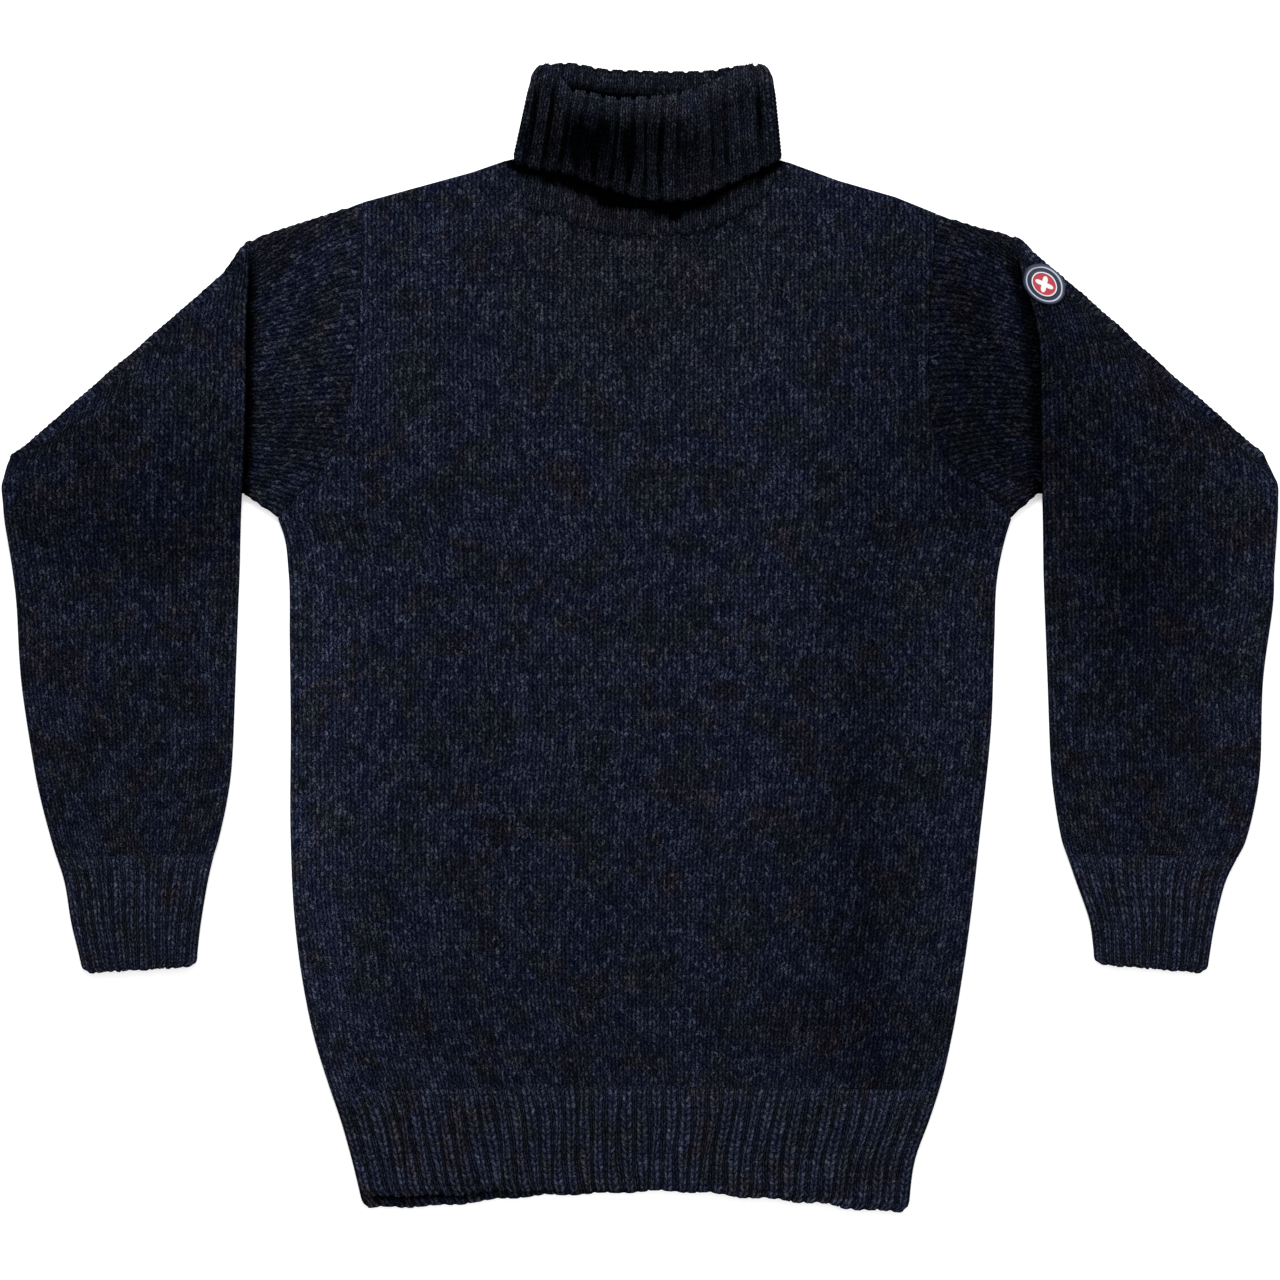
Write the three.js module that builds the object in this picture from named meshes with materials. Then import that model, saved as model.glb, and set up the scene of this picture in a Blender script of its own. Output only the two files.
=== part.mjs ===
// A chunky knitted wool sweater with a turned-down roll neck.
// It is laid flat on its back with both sleeves folded down.
// Millimetres, +Z up, +Y towards the neck, +X the wearer's left. The table is z = 0.
import * as THREE from "three";

// Cloth
const wall = 3;
const seamGap = 0.3;
const sideRound = [0, 0.9, 3];
const sideDrop = [1.7, 0.6, 0];
const frontInside = wall + seamGap;
const frontCrown = 0.9;

// Sleeve tube, pressed flat, and its fold
const sleeveSlit = 0.5;
const sleeveThick = 2 * wall + sleeveSlit;
const foldAxis = sleeveThick + 0.4;
const foldSteps = 8;
const armholeGap = 0.45;

// Ribs
const hemRibs = 42;
const cuffRibs = 13;
const collarRibs = 16;
const ribRise = 1;
const ribValley = 2.4;

// Collar, a flattened loop folded over itself
const collarOpen = 1.8;
const collarMiddle = collarOpen + 2 * wall + seamGap;
const collarLap = 2;

// Badge on the wearer's left sleeve
const badge = { x: 290.9, y: 256.3, along: 16.8, across: 13, towardsFold: -3.6, lift: 0.5 };

// Body side edges: height y, wearer's right edge, wearer's left edge.
// Rows from the armhole up are also the sleeve's seam.
const bodyEdges = [
  { y: -412, right: -199, left: 193.5 },
  { y: -374, right: -208.1, left: 198.7 },
  { y: -346, right: -216, left: 208.8 },
  { y: -322, right: -224.2, left: 216.6 },
  { y: -288, right: -234.7, left: 224.6 },
  { y: -242, right: -244.1, left: 232.6 },
  { y: -202, right: -249.1, left: 238.3 },
  { y: -144, right: -252, left: 244.8 },
  { y: -58, right: -252, left: 253.6 },
  { y: 0, right: -252.7, left: 255.6 },
  { y: 50, right: -253.6, left: 258.4 },
  { y: 76, right: -257, left: 264.2 },
  { y: 88, right: -261.4, left: 268 },
  { y: 104, right: -247.6, left: 252.2 },
  { y: 124, right: -228.8, left: 227.6 },
  { y: 146, right: -216.6, left: 213.4 },
  { y: 178, right: -209, left: 208.6 },
  { y: 226, right: -202.8, left: 208.6 },
  { y: 272, right: -200.9, left: 211.6 },
  { y: 314, right: -200.2, left: 213.8 },
];
const underarmRow = 12;

// Top edges
const shoulderRight = {
  x: [-200.2, -164, -121, -98, -90],
  y: [315.6, 325.6, 337.4, 345.4, 347.2],
};
const shoulderLeft = {
  x: [99, 108, 143, 184, 213.8],
  y: [346.6, 344.2, 331.4, 319.6, 307.6],
};
const shoulderEnd = { right: shoulderRight.y[0], left: shoulderLeft.y.at(-1) };
const frontNeck = {
  x: [-90, -86, -61, -36, 0, 43, 76, 94, 99],
  y: [347.2, 331.6, 311, 299.6, 295.2, 299.6, 314, 331.6, 346.6],
};
const backNeck = {
  x: [-90, -86, -61, -36, 0, 43, 76, 94, 99],
  y: [347.2, 344, 341, 339, 338, 339, 341, 344, 346.6],
};

// Hem: x, front edge, back edge, and the line where the ribs start
const hemLine = [
  { x: -226, front: -402.4, back: -411, start: -325.4 },
  { x: -172, front: -400.4, back: -409, start: -323.8 },
  { x: -115, front: -397.8, back: -403.9, start: -322.6 },
  { x: -58, front: -397, back: -400.3, start: -321.6 },
  { x: 0, front: -396.6, back: -398.2, start: -321.2 },
  { x: 58, front: -398.6, back: -399.6, start: -321.6 },
  { x: 115, front: -404, back: -404.4, start: -322.6 },
  { x: 184, front: -411.2, back: -411, start: -324 },
  { x: 220, front: -411.8, back: -411.6, start: -325.4 },
];

// Sleeves: the fold is the crease's outer line, read by share from its top end.
// Each station of the hanging part and the cuff has an inner edge, next to the body, and an outer one.
const rightSleeveCut = {
  side: "right",
  outward: -1,
  elbow: { innerX: [-262], innerY: [295.9], outerX: [-285.8], outerY: [105] },
  fold: {
    share: [0, 0.1, 0.94, 1],
    x: [-283.3, -301, -445.6, -458.3],
    y: [290.6, 262.5, 138.4, 130.6],
  },
  hanging: {
    innerX: [-282.4, -283, -284, -286, -288, -289.6, -291.6, -294, -297.6, -303.4, -307],
    innerY: [236, 190, 142, 100, 62, 26, -28, -86, -115, -142, -154],
    outerX: [-458.4, -457.6, -456.6, -454.6, -452, -449.6, -446.4, -437.8, -432, -424.6, -420.8],
    outerY: [112, 98, 84, 68, 46, 24, -29, -87, -116, -144, -156.6],
  },
  cuff: {
    innerX: [-307.1, -311.6, -316.1, -318.4, -319],
    innerY: [-154.4, -174, -201, -220, -231.6],
    outerX: [-420.7, -414.9, -410.4, -405.2, -402.5],
    outerY: [-157, -176, -204, -225, -238.4],
  },
};
const leftSleeveCut = {
  side: "left",
  outward: 1,
  elbow: { innerX: [245], innerY: [297.8], outerX: [286.6], outerY: [105] },
  fold: {
    share: [0, 0.06, 0.94, 1],
    x: [269.8, 281, 441, 454.3],
    y: [288.9, 279.1, 138.7, 131.1],
  },
  hanging: {
    innerX: [275, 286.4, 288, 288.8, 290.4, 291.7, 293.8, 296, 298.9, 303.6, 307.4],
    innerY: [260, 216, 162, 104, 62, 26, -28, -86, -115, -142, -154],
    outerX: [457.8, 458.4, 458.2, 458, 457.4, 456.4, 449.4, 447.6, 444, 437.2, 431.2],
    outerY: [113, 99, 86, 72, 48, 24, -29, -87, -116, -144, -156.6],
  },
  cuff: {
    innerX: [307.5, 314.3, 323.6, 326.6, 327.6],
    innerY: [-154.4, -174, -201, -220, -233.8],
    outerX: [431, 422, 415, 411.4, 409.2],
    outerY: [-157, -176, -204, -225, -240.4],
  },
};

// Collar edges
const foldFront = {
  x: [-79, -70, -62, -57, -52, -36, -22, 0, 25, 43, 57, 70, 84, 96],
  y: [404, 410, 407, 401.5, 396.5, 392.4, 389, 388.6, 391, 396, 402.5, 408.5, 411, 404],
};
const foldBack = {
  x: [-79, -67, -20, 50, 80, 96],
  y: [406, 412.8, 410.4, 409.6, 412.8, 406],
};
const lowerFront = {
  x: [-97, -90, -80.6, -51.1, -26.6, 7.2, 34.2, 56.9, 90.4, 97, 104],
  y: [346.4, 344.4, 340.6, 334.8, 325.8, 316.8, 316.8, 324.7, 340.6, 344.4, 346.4],
};
const lowerBack = { x: [-97, 104], y: [350, 350] };
const collarWide = { lowCentre: 4.4, lowHalf: 96.4, topCentre: 8.8, topHalf: 87 };

const mix = (a, b, t) => a + (b - a) * t;
const smooth = (t) => {
  const k = Math.min(1, Math.max(0, t));
  return k * k * (3 - 2 * k);
};
const between = (p, q, t) => p.map((c, i) => mix(c, q[i], t));

// Reads one column of a table at a place in another, in straight steps.
function readAt(from, to, place) {
  let k = 1;
  while (k < from.length - 1 && place > from[k]) k++;
  const share = (place - from[k - 1]) / (from[k] - from[k - 1]);
  return mix(to[k - 1], to[k], Math.min(1, Math.max(0, share)));
}

const along = (table, x) => readAt(table.x, table.y, x);
const columnOf = (rows, name) => rows.map((row) => row[name]);
const sideAt = (side, y) => readAt(columnOf(bodyEdges, "y"), columnOf(bodyEdges, side), y);
const hemRow = 3;
const hemPlace = (share) => mix(bodyEdges[hemRow].right, bodyEdges[hemRow].left, share);
const hemAt = (name, share) => readAt(columnOf(hemLine, "x"), columnOf(hemLine, name), hemPlace(share));

// A closed mesh from points and faces, turned so that it faces out.
function closedMesh(name, points, faces, material) {
  let volume = 0;
  for (const [i, j, k] of faces) {
    const [a, b, c] = [points[i], points[j], points[k]];
    volume += a[0] * (b[1] * c[2] - b[2] * c[1]);
    volume += a[1] * (b[2] * c[0] - b[0] * c[2]);
    volume += a[2] * (b[0] * c[1] - b[1] * c[0]);
  }
  const turned = volume < 0 ? faces.map(([i, j, k]) => [i, k, j]) : faces;
  const geometry = new THREE.BufferGeometry();
  geometry.setAttribute("position", new THREE.Float32BufferAttribute(points.flat(), 3));
  geometry.setIndex(turned.flat());
  geometry.computeVertexNormals();
  const mesh = new THREE.Mesh(geometry, material);
  mesh.name = name;
  return mesh;
}

// Faces between two rings of equal count, closed round.
function band(faces, first, second, count) {
  for (let i = 0; i < count; i++) {
    const j = (i + 1) % count;
    faces.push([first + i, first + j, second + j], [first + i, second + j, second + i]);
  }
}

// Faces between two chains of different counts, which both run from the same end to the other.
function zip(faces, a, b) {
  let [i, j] = [0, 0];
  while (i < a.length - 1 || j < b.length - 1) {
    const ahead = (i + 1) / (a.length - 1) <= (j + 1) / (b.length - 1);
    const forward = j === b.length - 1 || (i < a.length - 1 && ahead);
    if (forward) {
      faces.push([a[i], a[i + 1], b[j]]);
      i++;
    } else {
      faces.push([a[i], b[j + 1], b[j]]);
      j++;
    }
  }
}

// A panel between an upper and a lower grid of points, with the same rows and columns.
function panelSolid(name, upper, lower, material) {
  const [rows, columns] = [upper.length, upper[0].length];
  const points = [...upper.flat(), ...lower.flat()];
  const under = rows * columns;
  const faces = [];
  for (let r = 0; r + 1 < rows; r++) {
    for (let c = 0; c + 1 < columns; c++) {
      const i = r * columns + c;
      const j = under + i;
      faces.push([i, i + 1, i + columns + 1], [i, i + columns + 1, i + columns]);
      faces.push([j, j + columns + 1, j + 1], [j, j + columns, j + columns + 1]);
    }
  }
  const rim = [];
  for (let c = 0; c < columns - 1; c++) rim.push(c);
  for (let r = 0; r < rows - 1; r++) rim.push(r * columns + columns - 1);
  for (let c = columns - 1; c > 0; c--) rim.push((rows - 1) * columns + c);
  for (let r = rows - 1; r > 0; r--) rim.push(r * columns);
  rim.forEach((i, k) => {
    const j = rim[(k + 1) % rim.length];
    faces.push([i, under + i, under + j], [i, under + j, j]);
  });
  return closedMesh(name, points, faces, material);
}

// A strip with many points on its upper chain and few on its lower one, carried through stations.
function stripSolid(name, stations, material) {
  const [many, few] = [stations[0].upper.length, stations[0].lower.length];
  const count = many + few;
  const points = [];
  const faces = [];
  stations.forEach(({ upper, lower }, k) => {
    points.push(...upper, ...[...lower].reverse());
    if (k) band(faces, (k - 1) * count, k * count, count);
  });
  [0, stations.length - 1].forEach((k) => {
    const upper = Array.from({ length: many }, (_, i) => k * count + i);
    const lower = Array.from({ length: few }, (_, i) => k * count + count - 1 - i);
    const cap = [];
    zip(cap, upper, lower);
    faces.push(...(k ? cap : cap.map(([a, b, c]) => [a, c, b])));
  });
  return closedMesh(name, points, faces, material);
}

// A tube from outer rings and inner rings, which share only their first and last station.
function tubeSolid(name, outer, inner, corners, material) {
  const points = [...outer.flat(), ...inner.flat()];
  const [outerCount, innerCount] = [outer[0].length, inner[0].length];
  const innerStart = outer.length * outerCount;
  const faces = [];
  const inside = [];
  for (let k = 1; k < outer.length; k++) {
    band(faces, (k - 1) * outerCount, k * outerCount, outerCount);
  }
  for (let k = 1; k < inner.length; k++) {
    const first = innerStart + (k - 1) * innerCount;
    band(inside, first, first + innerCount, innerCount);
  }
  faces.push(...inside.map(([a, b, c]) => [a, c, b]));
  const chain = (start, count, from, to) => {
    const list = [];
    for (let i = from; i <= to; i++) list.push(start + (i % count));
    return list;
  };
  [true, false].forEach((first) => {
    const outerRing = first ? 0 : (outer.length - 1) * outerCount;
    const innerRing = innerStart + (first ? 0 : (inner.length - 1) * innerCount);
    const outerCuts = [0, corners.outer, outerCount];
    const innerCuts = [0, corners.inner, innerCount];
    for (let half = 0; half < 2; half++) {
      const cap = [];
      const a = chain(outerRing, outerCount, outerCuts[half], outerCuts[half + 1]);
      const b = chain(innerRing, innerCount, innerCuts[half], innerCuts[half + 1]);
      zip(cap, a, b);
      faces.push(...(first ? cap.map(([i, j, k]) => [i, k, j]) : cap));
    }
  });
  return closedMesh(name, points, faces, material);
}

// Body
const bodyColumns = [-86, -61, -36, -18, 0, 21, 43, 60, 76, 94];
const topLeft = -200.2;
const topRight = 213.8;

function topHeight(x, neck) {
  if (x < -90) return along(shoulderRight, x);
  if (x > 99) return along(shoulderLeft, x);
  return along(neck, x);
}

function columnShares() {
  const width = topRight - topLeft;
  const shares = [-164, -140, -121, -98, -90, ...bodyColumns, 99, 108, 125, 143, 164, 184];
  return shares.map((x) => (x - topLeft) / width);
}

// One point of a body panel in plan. The inset moves a column in from the side edge that its share names.
function bodyPoint({ share, inset }, row, neck) {
  const top = topHeight(mix(topLeft, topRight, share), neck);
  const startY = hemAt("start", share) + seamGap;
  const [first, last] = [hemRow, bodyEdges.length - 1];
  const rise = (bodyEdges[row].y - bodyEdges[first].y) / (bodyEdges[last].y - bodyEdges[first].y);
  const y = inset === null ? mix(startY, top, rise) : bodyEdges[row].y;
  const height = row === first ? startY : row === last ? top : y;
  const [right, left] = [sideAt("right", y), sideAt("left", y)];
  if (inset === null) return [mix(right, left, share), height];
  return [share ? left - inset : right + inset, height];
}

function bodyGrid(neck, heightAt) {
  const columns = [
    ...sideRound.map((inset) => ({ share: 0, inset })),
    ...columnShares().map((share) => ({ share, inset: null })),
    ...[...sideRound].reverse().map((inset) => ({ share: 1, inset })),
  ];
  return bodyEdges.slice(hemRow).map(({ y: edgeY }, k) => {
    const row = hemRow + k;
    const lengthwise = smooth((edgeY + 322) / 90) * smooth((290 - edgeY) / 60);
    return columns.map((item) => {
      const [x, y] = bodyPoint(item, row, neck);
      const open = item.inset === null || row > underarmRow;
      const drop = open ? 0 : sideDrop[sideRound.indexOf(item.inset)];
      const middle = smooth(Math.min(item.share, 1 - item.share) * 4) * lengthwise;
      return [x, y, heightAt(drop, middle)];
    });
  });
}

const frontTop = frontInside + wall;
const frontUpper = bodyGrid(frontNeck, (drop, middle) => frontTop + frontCrown * middle - drop);
const frontLower = bodyGrid(frontNeck, (drop, middle) => frontInside + frontCrown * middle * 0.8);
const backUpper = bodyGrid(backNeck, () => wall);
const backLower = bodyGrid(backNeck, (drop) => drop * 0.8);

// Hem: a ribbed strip, ribs raised on the side that faces up.
function hemStation(edge, t, ribbed) {
  const shareList = (count) => Array.from({ length: count + 1 }, (_, i) => i / count);
  const place = (share) => {
    const y = mix(hemAt("start", share), hemAt(edge, share), t);
    return [mix(sideAt("right", y), sideAt("left", y), share), y];
  };
  const base = edge === "front" ? frontInside : 0;
  const upper = [];
  const ribs = ribbed ? hemRibs : 10;
  for (let k = 0; k < ribs; k++) {
    for (const part of ribbed ? [0, 0.22, 0.78] : [0]) {
      const share = (k + part) / ribs;
      const raised = ribbed ? ribValley + (part ? ribRise : 0) : wall;
      upper.push([...place(share), base + raised - (k + part === 0 ? 1 : 0)]);
    }
  }
  upper.push([...place(1), base + (ribbed ? ribValley : wall) - 1]);
  const lower = shareList(12).map((share) => [...place(share), base]);
  if (edge === "back") {
    const end = lower.length - 1;
    lower[0][2] = 1.2;
    lower[end][2] = 1.2;
    lower.splice(end, 0, [...place(0.994), 0]);
    lower.splice(1, 0, [...place(0.006), 0]);
  }
  return { upper, lower };
}

// Sleeve
const unit = (v) => {
  const long = Math.hypot(...v);
  return v.map((c) => c / long);
};

// The fold's axis, by share from its top end. Its direction is that of the long straight part.
function sleeveFold(cut) {
  const { share, x, y } = cut.fold;
  const direction = unit([x[2] - x[1], y[2] - y[1]]);
  const normal = [cut.outward * Math.abs(direction[1]), Math.abs(direction[0])];
  const axisAt = (t) => [
    readAt(share, x, t) - foldAxis * normal[0],
    readAt(share, y, t) - foldAxis * normal[1],
  ];
  return { direction, normal, axisAt };
}

// The two ends of each station of a table.
function stationEnds({ innerX, innerY, outerX, outerY }) {
  return innerX.map((x, k) => [
    [x, innerY[k]],
    [outerX[k], outerY[k]],
  ]);
}

// The armhole's points from the shoulder's end down to the underarm, moved out by the seam's gap.
function armhole(cut) {
  const rows = bodyEdges.slice(underarmRow).reverse();
  const points = rows.map((row) => [row[cut.side] + cut.outward * armholeGap, row.y]);
  points[0][1] = shoulderEnd[cut.side];
  return points;
}

const span = (p, q) => Math.hypot(q[0] - p[0], q[1] - p[1]);
const chainLength = (chain) => chain.slice(1).reduce((sum, p, k) => sum + span(chain[k], p), 0);

function alongChain(chain, distance) {
  let left = distance;
  let k = 1;
  while (k < chain.length - 1 && left > span(chain[k - 1], chain[k])) {
    left -= span(chain[k - 1], chain[k]);
    k++;
  }
  return between(chain[k - 1], chain[k], left / span(chain[k - 1], chain[k]));
}

function armholeShares(cut) {
  const chain = armhole(cut);
  const total = chainLength(chain);
  return chain.map((_, k) => chainLength(chain.slice(0, k + 1)) / total);
}

// How high the hanging part lies over the table: on the upper sleeve first, then down to it.
const hangingBase = (y) => (2 * foldAxis - sleeveThick) * smooth((y - 42) / 58);

// The flat tube's ring: distance in from an edge or share across, and height w in the pressed tube.
function sleeveRing(shares, inset, low, high, round) {
  const radius = (high - low) / 2;
  const near = 0.29 * radius;
  const inner = shares.slice(1, -1);
  const edgeItems = (edge, rising) => {
    const items = [
      { edge, in: inset + radius, w: low },
      { edge, in: inset + near, w: low + near },
      { edge, in: inset, w: low + radius },
      { edge, in: inset + near, w: high - near },
      { edge, in: inset + radius, w: high },
    ];
    const kept = round ? items : [items[0], items[2], items[4]];
    return rising ? kept : kept.reverse();
  };
  const start = edgeItems(0, false);
  const split = round ? 2 : 1;
  const ring = [
    ...start.slice(split),
    ...inner.map((share) => ({ share, w: low })),
    ...edgeItems(1, true),
    ...[...inner].reverse().map((share) => ({ share, w: high })),
    ...start.slice(0, split),
  ];
  return { ring, corner: ring.findIndex((item) => item.edge === 1 && item.w === low + radius) };
}

// A point across a station's chain, whose points stand at the given shares.
function planPoint(chain, shares, item) {
  if (item.share === undefined) {
    return alongChain(chain, item.edge ? chainLength(chain) - item.in : item.in);
  }
  return [0, 1].map((axis) => readAt(shares, chain.map((p) => p[axis]), item.share));
}

function sleeveStations(cut, coarse) {
  const { normal, axisAt } = sleeveFold(cut);
  const shares = armholeShares(cut);
  const arm = armhole(cut);
  const straight = (ends) => shares.map((t) => between(ends[0], ends[1], t));
  const [elbow] = stationEnds(cut.elbow).map(straight);
  const fold = shares.map(axisAt);
  const blend = (a, b, t) => a.map((p, k) => between(p, b[k], t));
  const list = [];
  (coarse ? [0, 0.5] : [0, 0.3, 0.65]).forEach((t) => list.push({ chain: blend(arm, elbow, t) }));
  (coarse ? [0, 0.5] : [0, 0.25, 0.5, 0.75]).forEach((t) => list.push({ chain: blend(elbow, fold, t) }));
  for (let k = 0; k <= foldSteps; k++) {
    list.push({ chain: fold, angle: (Math.PI * k) / foldSteps, normal });
  }
  const hanging = stationEnds(cut.hanging).map(straight);
  if (!coarse) list.push({ chain: blend(fold, hanging[0], 0.5), hangs: true });
  hanging.forEach((chain) => list.push({ chain, hangs: true }));
  return list;
}

function sleevePoint(station, shares, item) {
  const [x, y] = planPoint(station.chain, shares, item);
  if (station.angle !== undefined) {
    const radius = foldAxis - item.w;
    const out = radius * Math.sin(station.angle);
    const [nx, ny] = station.normal;
    return [x + nx * out, y + ny * out, foldAxis - radius * Math.cos(station.angle)];
  }
  if (station.hangs) return [x, y, hangingBase(y) + sleeveThick - item.w];
  return [x, y, item.w];
}

function sleeveSolid(name, cut, material) {
  const shares = armholeShares(cut);
  const outer = sleeveRing(shares, 0, 0, sleeveThick, true);
  const inner = sleeveRing(shares, wall, wall, sleeveThick - wall, false);
  const rings = ({ ring }, coarse) =>
    sleeveStations(cut, coarse).map((station) => ring.map((item) => sleevePoint(station, shares, item)));
  const corners = { outer: outer.corner, inner: inner.corner };
  return tubeSolid(name, rings(outer, false), rings(inner, true), corners, material);
}

// Cuff: the same pressed tube, with ribs raised on the side that faces up.
function cuffSolid(name, cut, material) {
  const radius = sleeveThick / 2;
  const outerRing = (ends) => {
    const ring = [];
    const long = chainLength(ends);
    const put = (distance, z) => ring.push([...alongChain(ends, distance), z]);
    put(0, radius);
    put(0.29 * radius, 0.29 * radius);
    put(radius, 0);
    for (let k = 1; k < 5; k++) put(mix(radius, long - radius, k / 5), 0);
    put(long - radius, 0);
    put(long - 0.29 * radius, 0.29 * radius);
    const corner = ring.length;
    put(long, radius);
    put(long - 0.2 * radius, sleeveThick - 0.45 * radius);
    const valley = sleeveThick - wall + ribValley;
    for (let k = cuffRibs; k > 0; k--) {
      const at = (part) => mix(0.55 * radius, long - 0.55 * radius, (k - part) / cuffRibs);
      put(at(0), valley);
      put(at(0.22), valley + ribRise);
      put(at(0.78), valley + ribRise);
    }
    put(0.55 * radius, valley);
    put(0.2 * radius, sleeveThick - 0.45 * radius);
    return { ring, corner };
  };
  const innerRing = (ends) => {
    const shares = [0, 0.25, 0.5, 0.75, 1];
    const { ring, corner } = sleeveRing(shares, wall, wall, sleeveThick - wall, false);
    return { ring: ring.map((item) => [...planPoint(ends, [0, 1], item), item.w]), corner };
  };
  const rings = stationEnds(cut.cuff);
  const outer = rings.map(outerRing);
  const inner = [rings[0], rings[2], rings[4]].map(innerRing);
  const corners = { outer: outer[0].corner, inner: inner[0].corner };
  return tubeSolid(name, columnOf(outer, "ring"), columnOf(inner, "ring"), corners, material);
}

// Collar: a closed hairpin profile carried round the flattened neck.
// Columns run along the front, round an end, and back.
function collarColumns() {
  const list = [];
  const radians = (degrees) => (degrees * Math.PI) / 180;
  for (let k = 0; k < collarRibs; k++) {
    for (const part of [0, 0.24, 0.76]) {
      const run = mix(-1, 1, (k + part) / collarRibs);
      list.push({ run, angle: radians(90), rib: part ? 1 : 0 });
    }
  }
  for (const degrees of [90, 54, 18, -18, -54]) {
    list.push({ run: 1, angle: radians(degrees), rib: 0 });
  }
  for (let k = 0; k < 9; k++) {
    list.push({ run: mix(1, -1, k / 9), angle: radians(-90), rib: 0 });
  }
  for (const degrees of [-90, -54, -18, 18, 54]) {
    list.push({ run: -1, angle: radians(degrees), rib: 0 });
  }
  return list;
}

// The profile: layer and share up it, depth out from the neck's middle plane, rise over the fold's centre.
function collarProfile() {
  const inner = collarOpen;
  const outer = collarOpen + 2 * wall + seamGap;
  const centre = (inner + outer) / 2;
  const radius = (outer - inner) / 2;
  const list = [];
  const put = (layer, ups, depth, rib) => {
    ups.forEach((up) => list.push({ layer, up, depth, rise: 0, rib }));
  };
  put("inner", [0, 0.12, 0.28, 0.6, 1], inner, 0);
  for (const degrees of [45, 90, 135]) {
    const angle = (degrees * Math.PI) / 180;
    const [depth, rise] = [centre - radius * Math.cos(angle), radius * Math.sin(angle)];
    list.push({ layer: "fold", up: 1, depth, rise, rib: degrees / 135 });
  }
  put("outer", [1, 0.66, 0.33, 0], outer, 1);
  put("outer", [0, 0.5, 1], outer - wall, 0);
  put("inner", [1, 0.6, 0.28, 0.12, 0], inner + wall, 0);
  return { list, radius };
}

function collarPoint(columnItem, item, radius) {
  const side = Math.sin(columnItem.angle);
  const front = smooth((side + 0.3) / 0.5);
  const centre = mix(collarWide.lowCentre, collarWide.topCentre, item.up);
  const half = mix(collarWide.lowHalf, collarWide.topHalf, item.up) - collarMiddle;
  const depth = item.depth + item.rib * columnItem.rib * ribRise;
  const atEnd = Math.abs(columnItem.run) === 1;
  const end = atEnd ? columnItem.run * Math.cos(columnItem.angle) * item.depth : 0;
  const x = centre + half * columnItem.run + end;
  const foldY = mix(along(foldBack, x), along(foldFront, x), front) - radius;
  const isInner = item.layer === "inner";
  const lowFront = isInner ? along(frontNeck, x) - collarLap : along(lowerFront, x);
  const lowBack = isInner ? along(backNeck, x) - collarLap : along(lowerBack, x);
  const edge = isInner ? smooth((0.25 - Math.abs(side)) / 0.25) * (collarLap + 1.6) : 0;
  const low = mix(lowBack, lowFront, front) + edge;
  const y = mix(low, foldY, item.up) + item.rise;
  const dip = isInner ? 3.3 * smooth(1 - item.up / 0.28) * Math.max(0, side) : 0;
  return [x, y, collarMiddle + depth * side - dip];
}

function collarSolid(material) {
  const { list, radius } = collarProfile();
  const columns = collarColumns();
  const points = [];
  const faces = [];
  columns.forEach((c) => list.forEach((item) => points.push(collarPoint(c, item, radius))));
  columns.forEach((_, k) => {
    const next = (k + 1) % columns.length;
    band(faces, k * list.length, next * list.length, list.length);
  });
  return closedMesh("collar", points, faces, material);
}

// Badge: an oval on the sleeve's fold, made from the sleeve's own surface moved out.
// p runs along the fold and q over it, from the badge's place on the fold's axis.
function badgePoint(cut, p, q, off) {
  const { direction, normal, axisAt } = sleeveFold(cut);
  const axis = axisAt(cut.fold.share[1]);
  const from = (badge.x - axis[0]) * direction[0] + (badge.y - axis[1]) * direction[1];
  const [x, y] = axis.map((c, i) => c + direction[i] * (from + p));
  if (q > 0) {
    const radius = foldAxis + off;
    const angle = q / foldAxis;
    const out = radius * Math.sin(angle);
    return [x + normal[0] * out, y + normal[1] * out, foldAxis + radius * Math.cos(angle)];
  }
  const [px, py] = [x + normal[0] * q, y + normal[1] * q];
  const { innerX, innerY } = cut.hanging;
  const top = axisAt(0);
  const down = [top[1], ...innerY].map((c) => -c);
  const inside = Math.max(0, px - readAt(down, [top[0], ...innerX], -py));
  const round = sleeveThick / 2;
  const fall = inside < round ? round - Math.sqrt(round * round - (round - inside) ** 2) : 0;
  return [px, py, 2 * foldAxis + off - Math.min(fall, 0.6)];
}

function badgeSolid(material) {
  const rings = [
    { r: 0.22, off: 0.7 },
    { r: 0.42, off: 0.7 },
    { r: 0.6, off: 0.7 },
    { r: 0.66, off: 1 },
    { r: 0.82, off: 0.8 },
    { r: 0.9, off: 1.3 },
    { r: 1, off: 1.2 },
  ];
  const count = 28;
  const at = (r, k, off) => {
    const angle = (2 * Math.PI * k) / count;
    const p = badge.along * r * Math.cos(angle);
    const q = badge.towardsFold + badge.across * r * Math.sin(angle);
    return badgePoint(leftSleeveCut, p, q, badge.lift + off);
  };
  const under = [...rings].reverse().map(({ r }) => ({ r, off: 0 }));
  const loops = [...rings, ...under];
  const points = loops.flatMap(({ r, off }) => Array.from({ length: count }, (_, k) => at(r, k, off)));
  const faces = [];
  for (let k = 1; k < loops.length; k++) band(faces, (k - 1) * count, k * count, count);
  points.push(at(0, 0, 0.7), at(0, 0, 0));
  const last = (loops.length - 1) * count;
  for (let i = 0; i < count; i++) {
    const j = (i + 1) % count;
    faces.push([points.length - 2, j, i], [points.length - 1, last + i, last + j]);
  }
  return closedMesh("sleeve_badge", points, faces, material);
}

const knit = (colour) => new THREE.MeshStandardMaterial({ color: colour, roughness: 0.95, metalness: 0 });

const frontHem = [0, 0.03, 0.5, 0.96, 1].map((t) => hemStation("front", t, true));
const backHem = [0, 0.5, 1].map((t) => hemStation("back", t, false));
const rubber = new THREE.MeshStandardMaterial({ color: 0x8a8f9c, roughness: 0.6, metalness: 0 });

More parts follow.
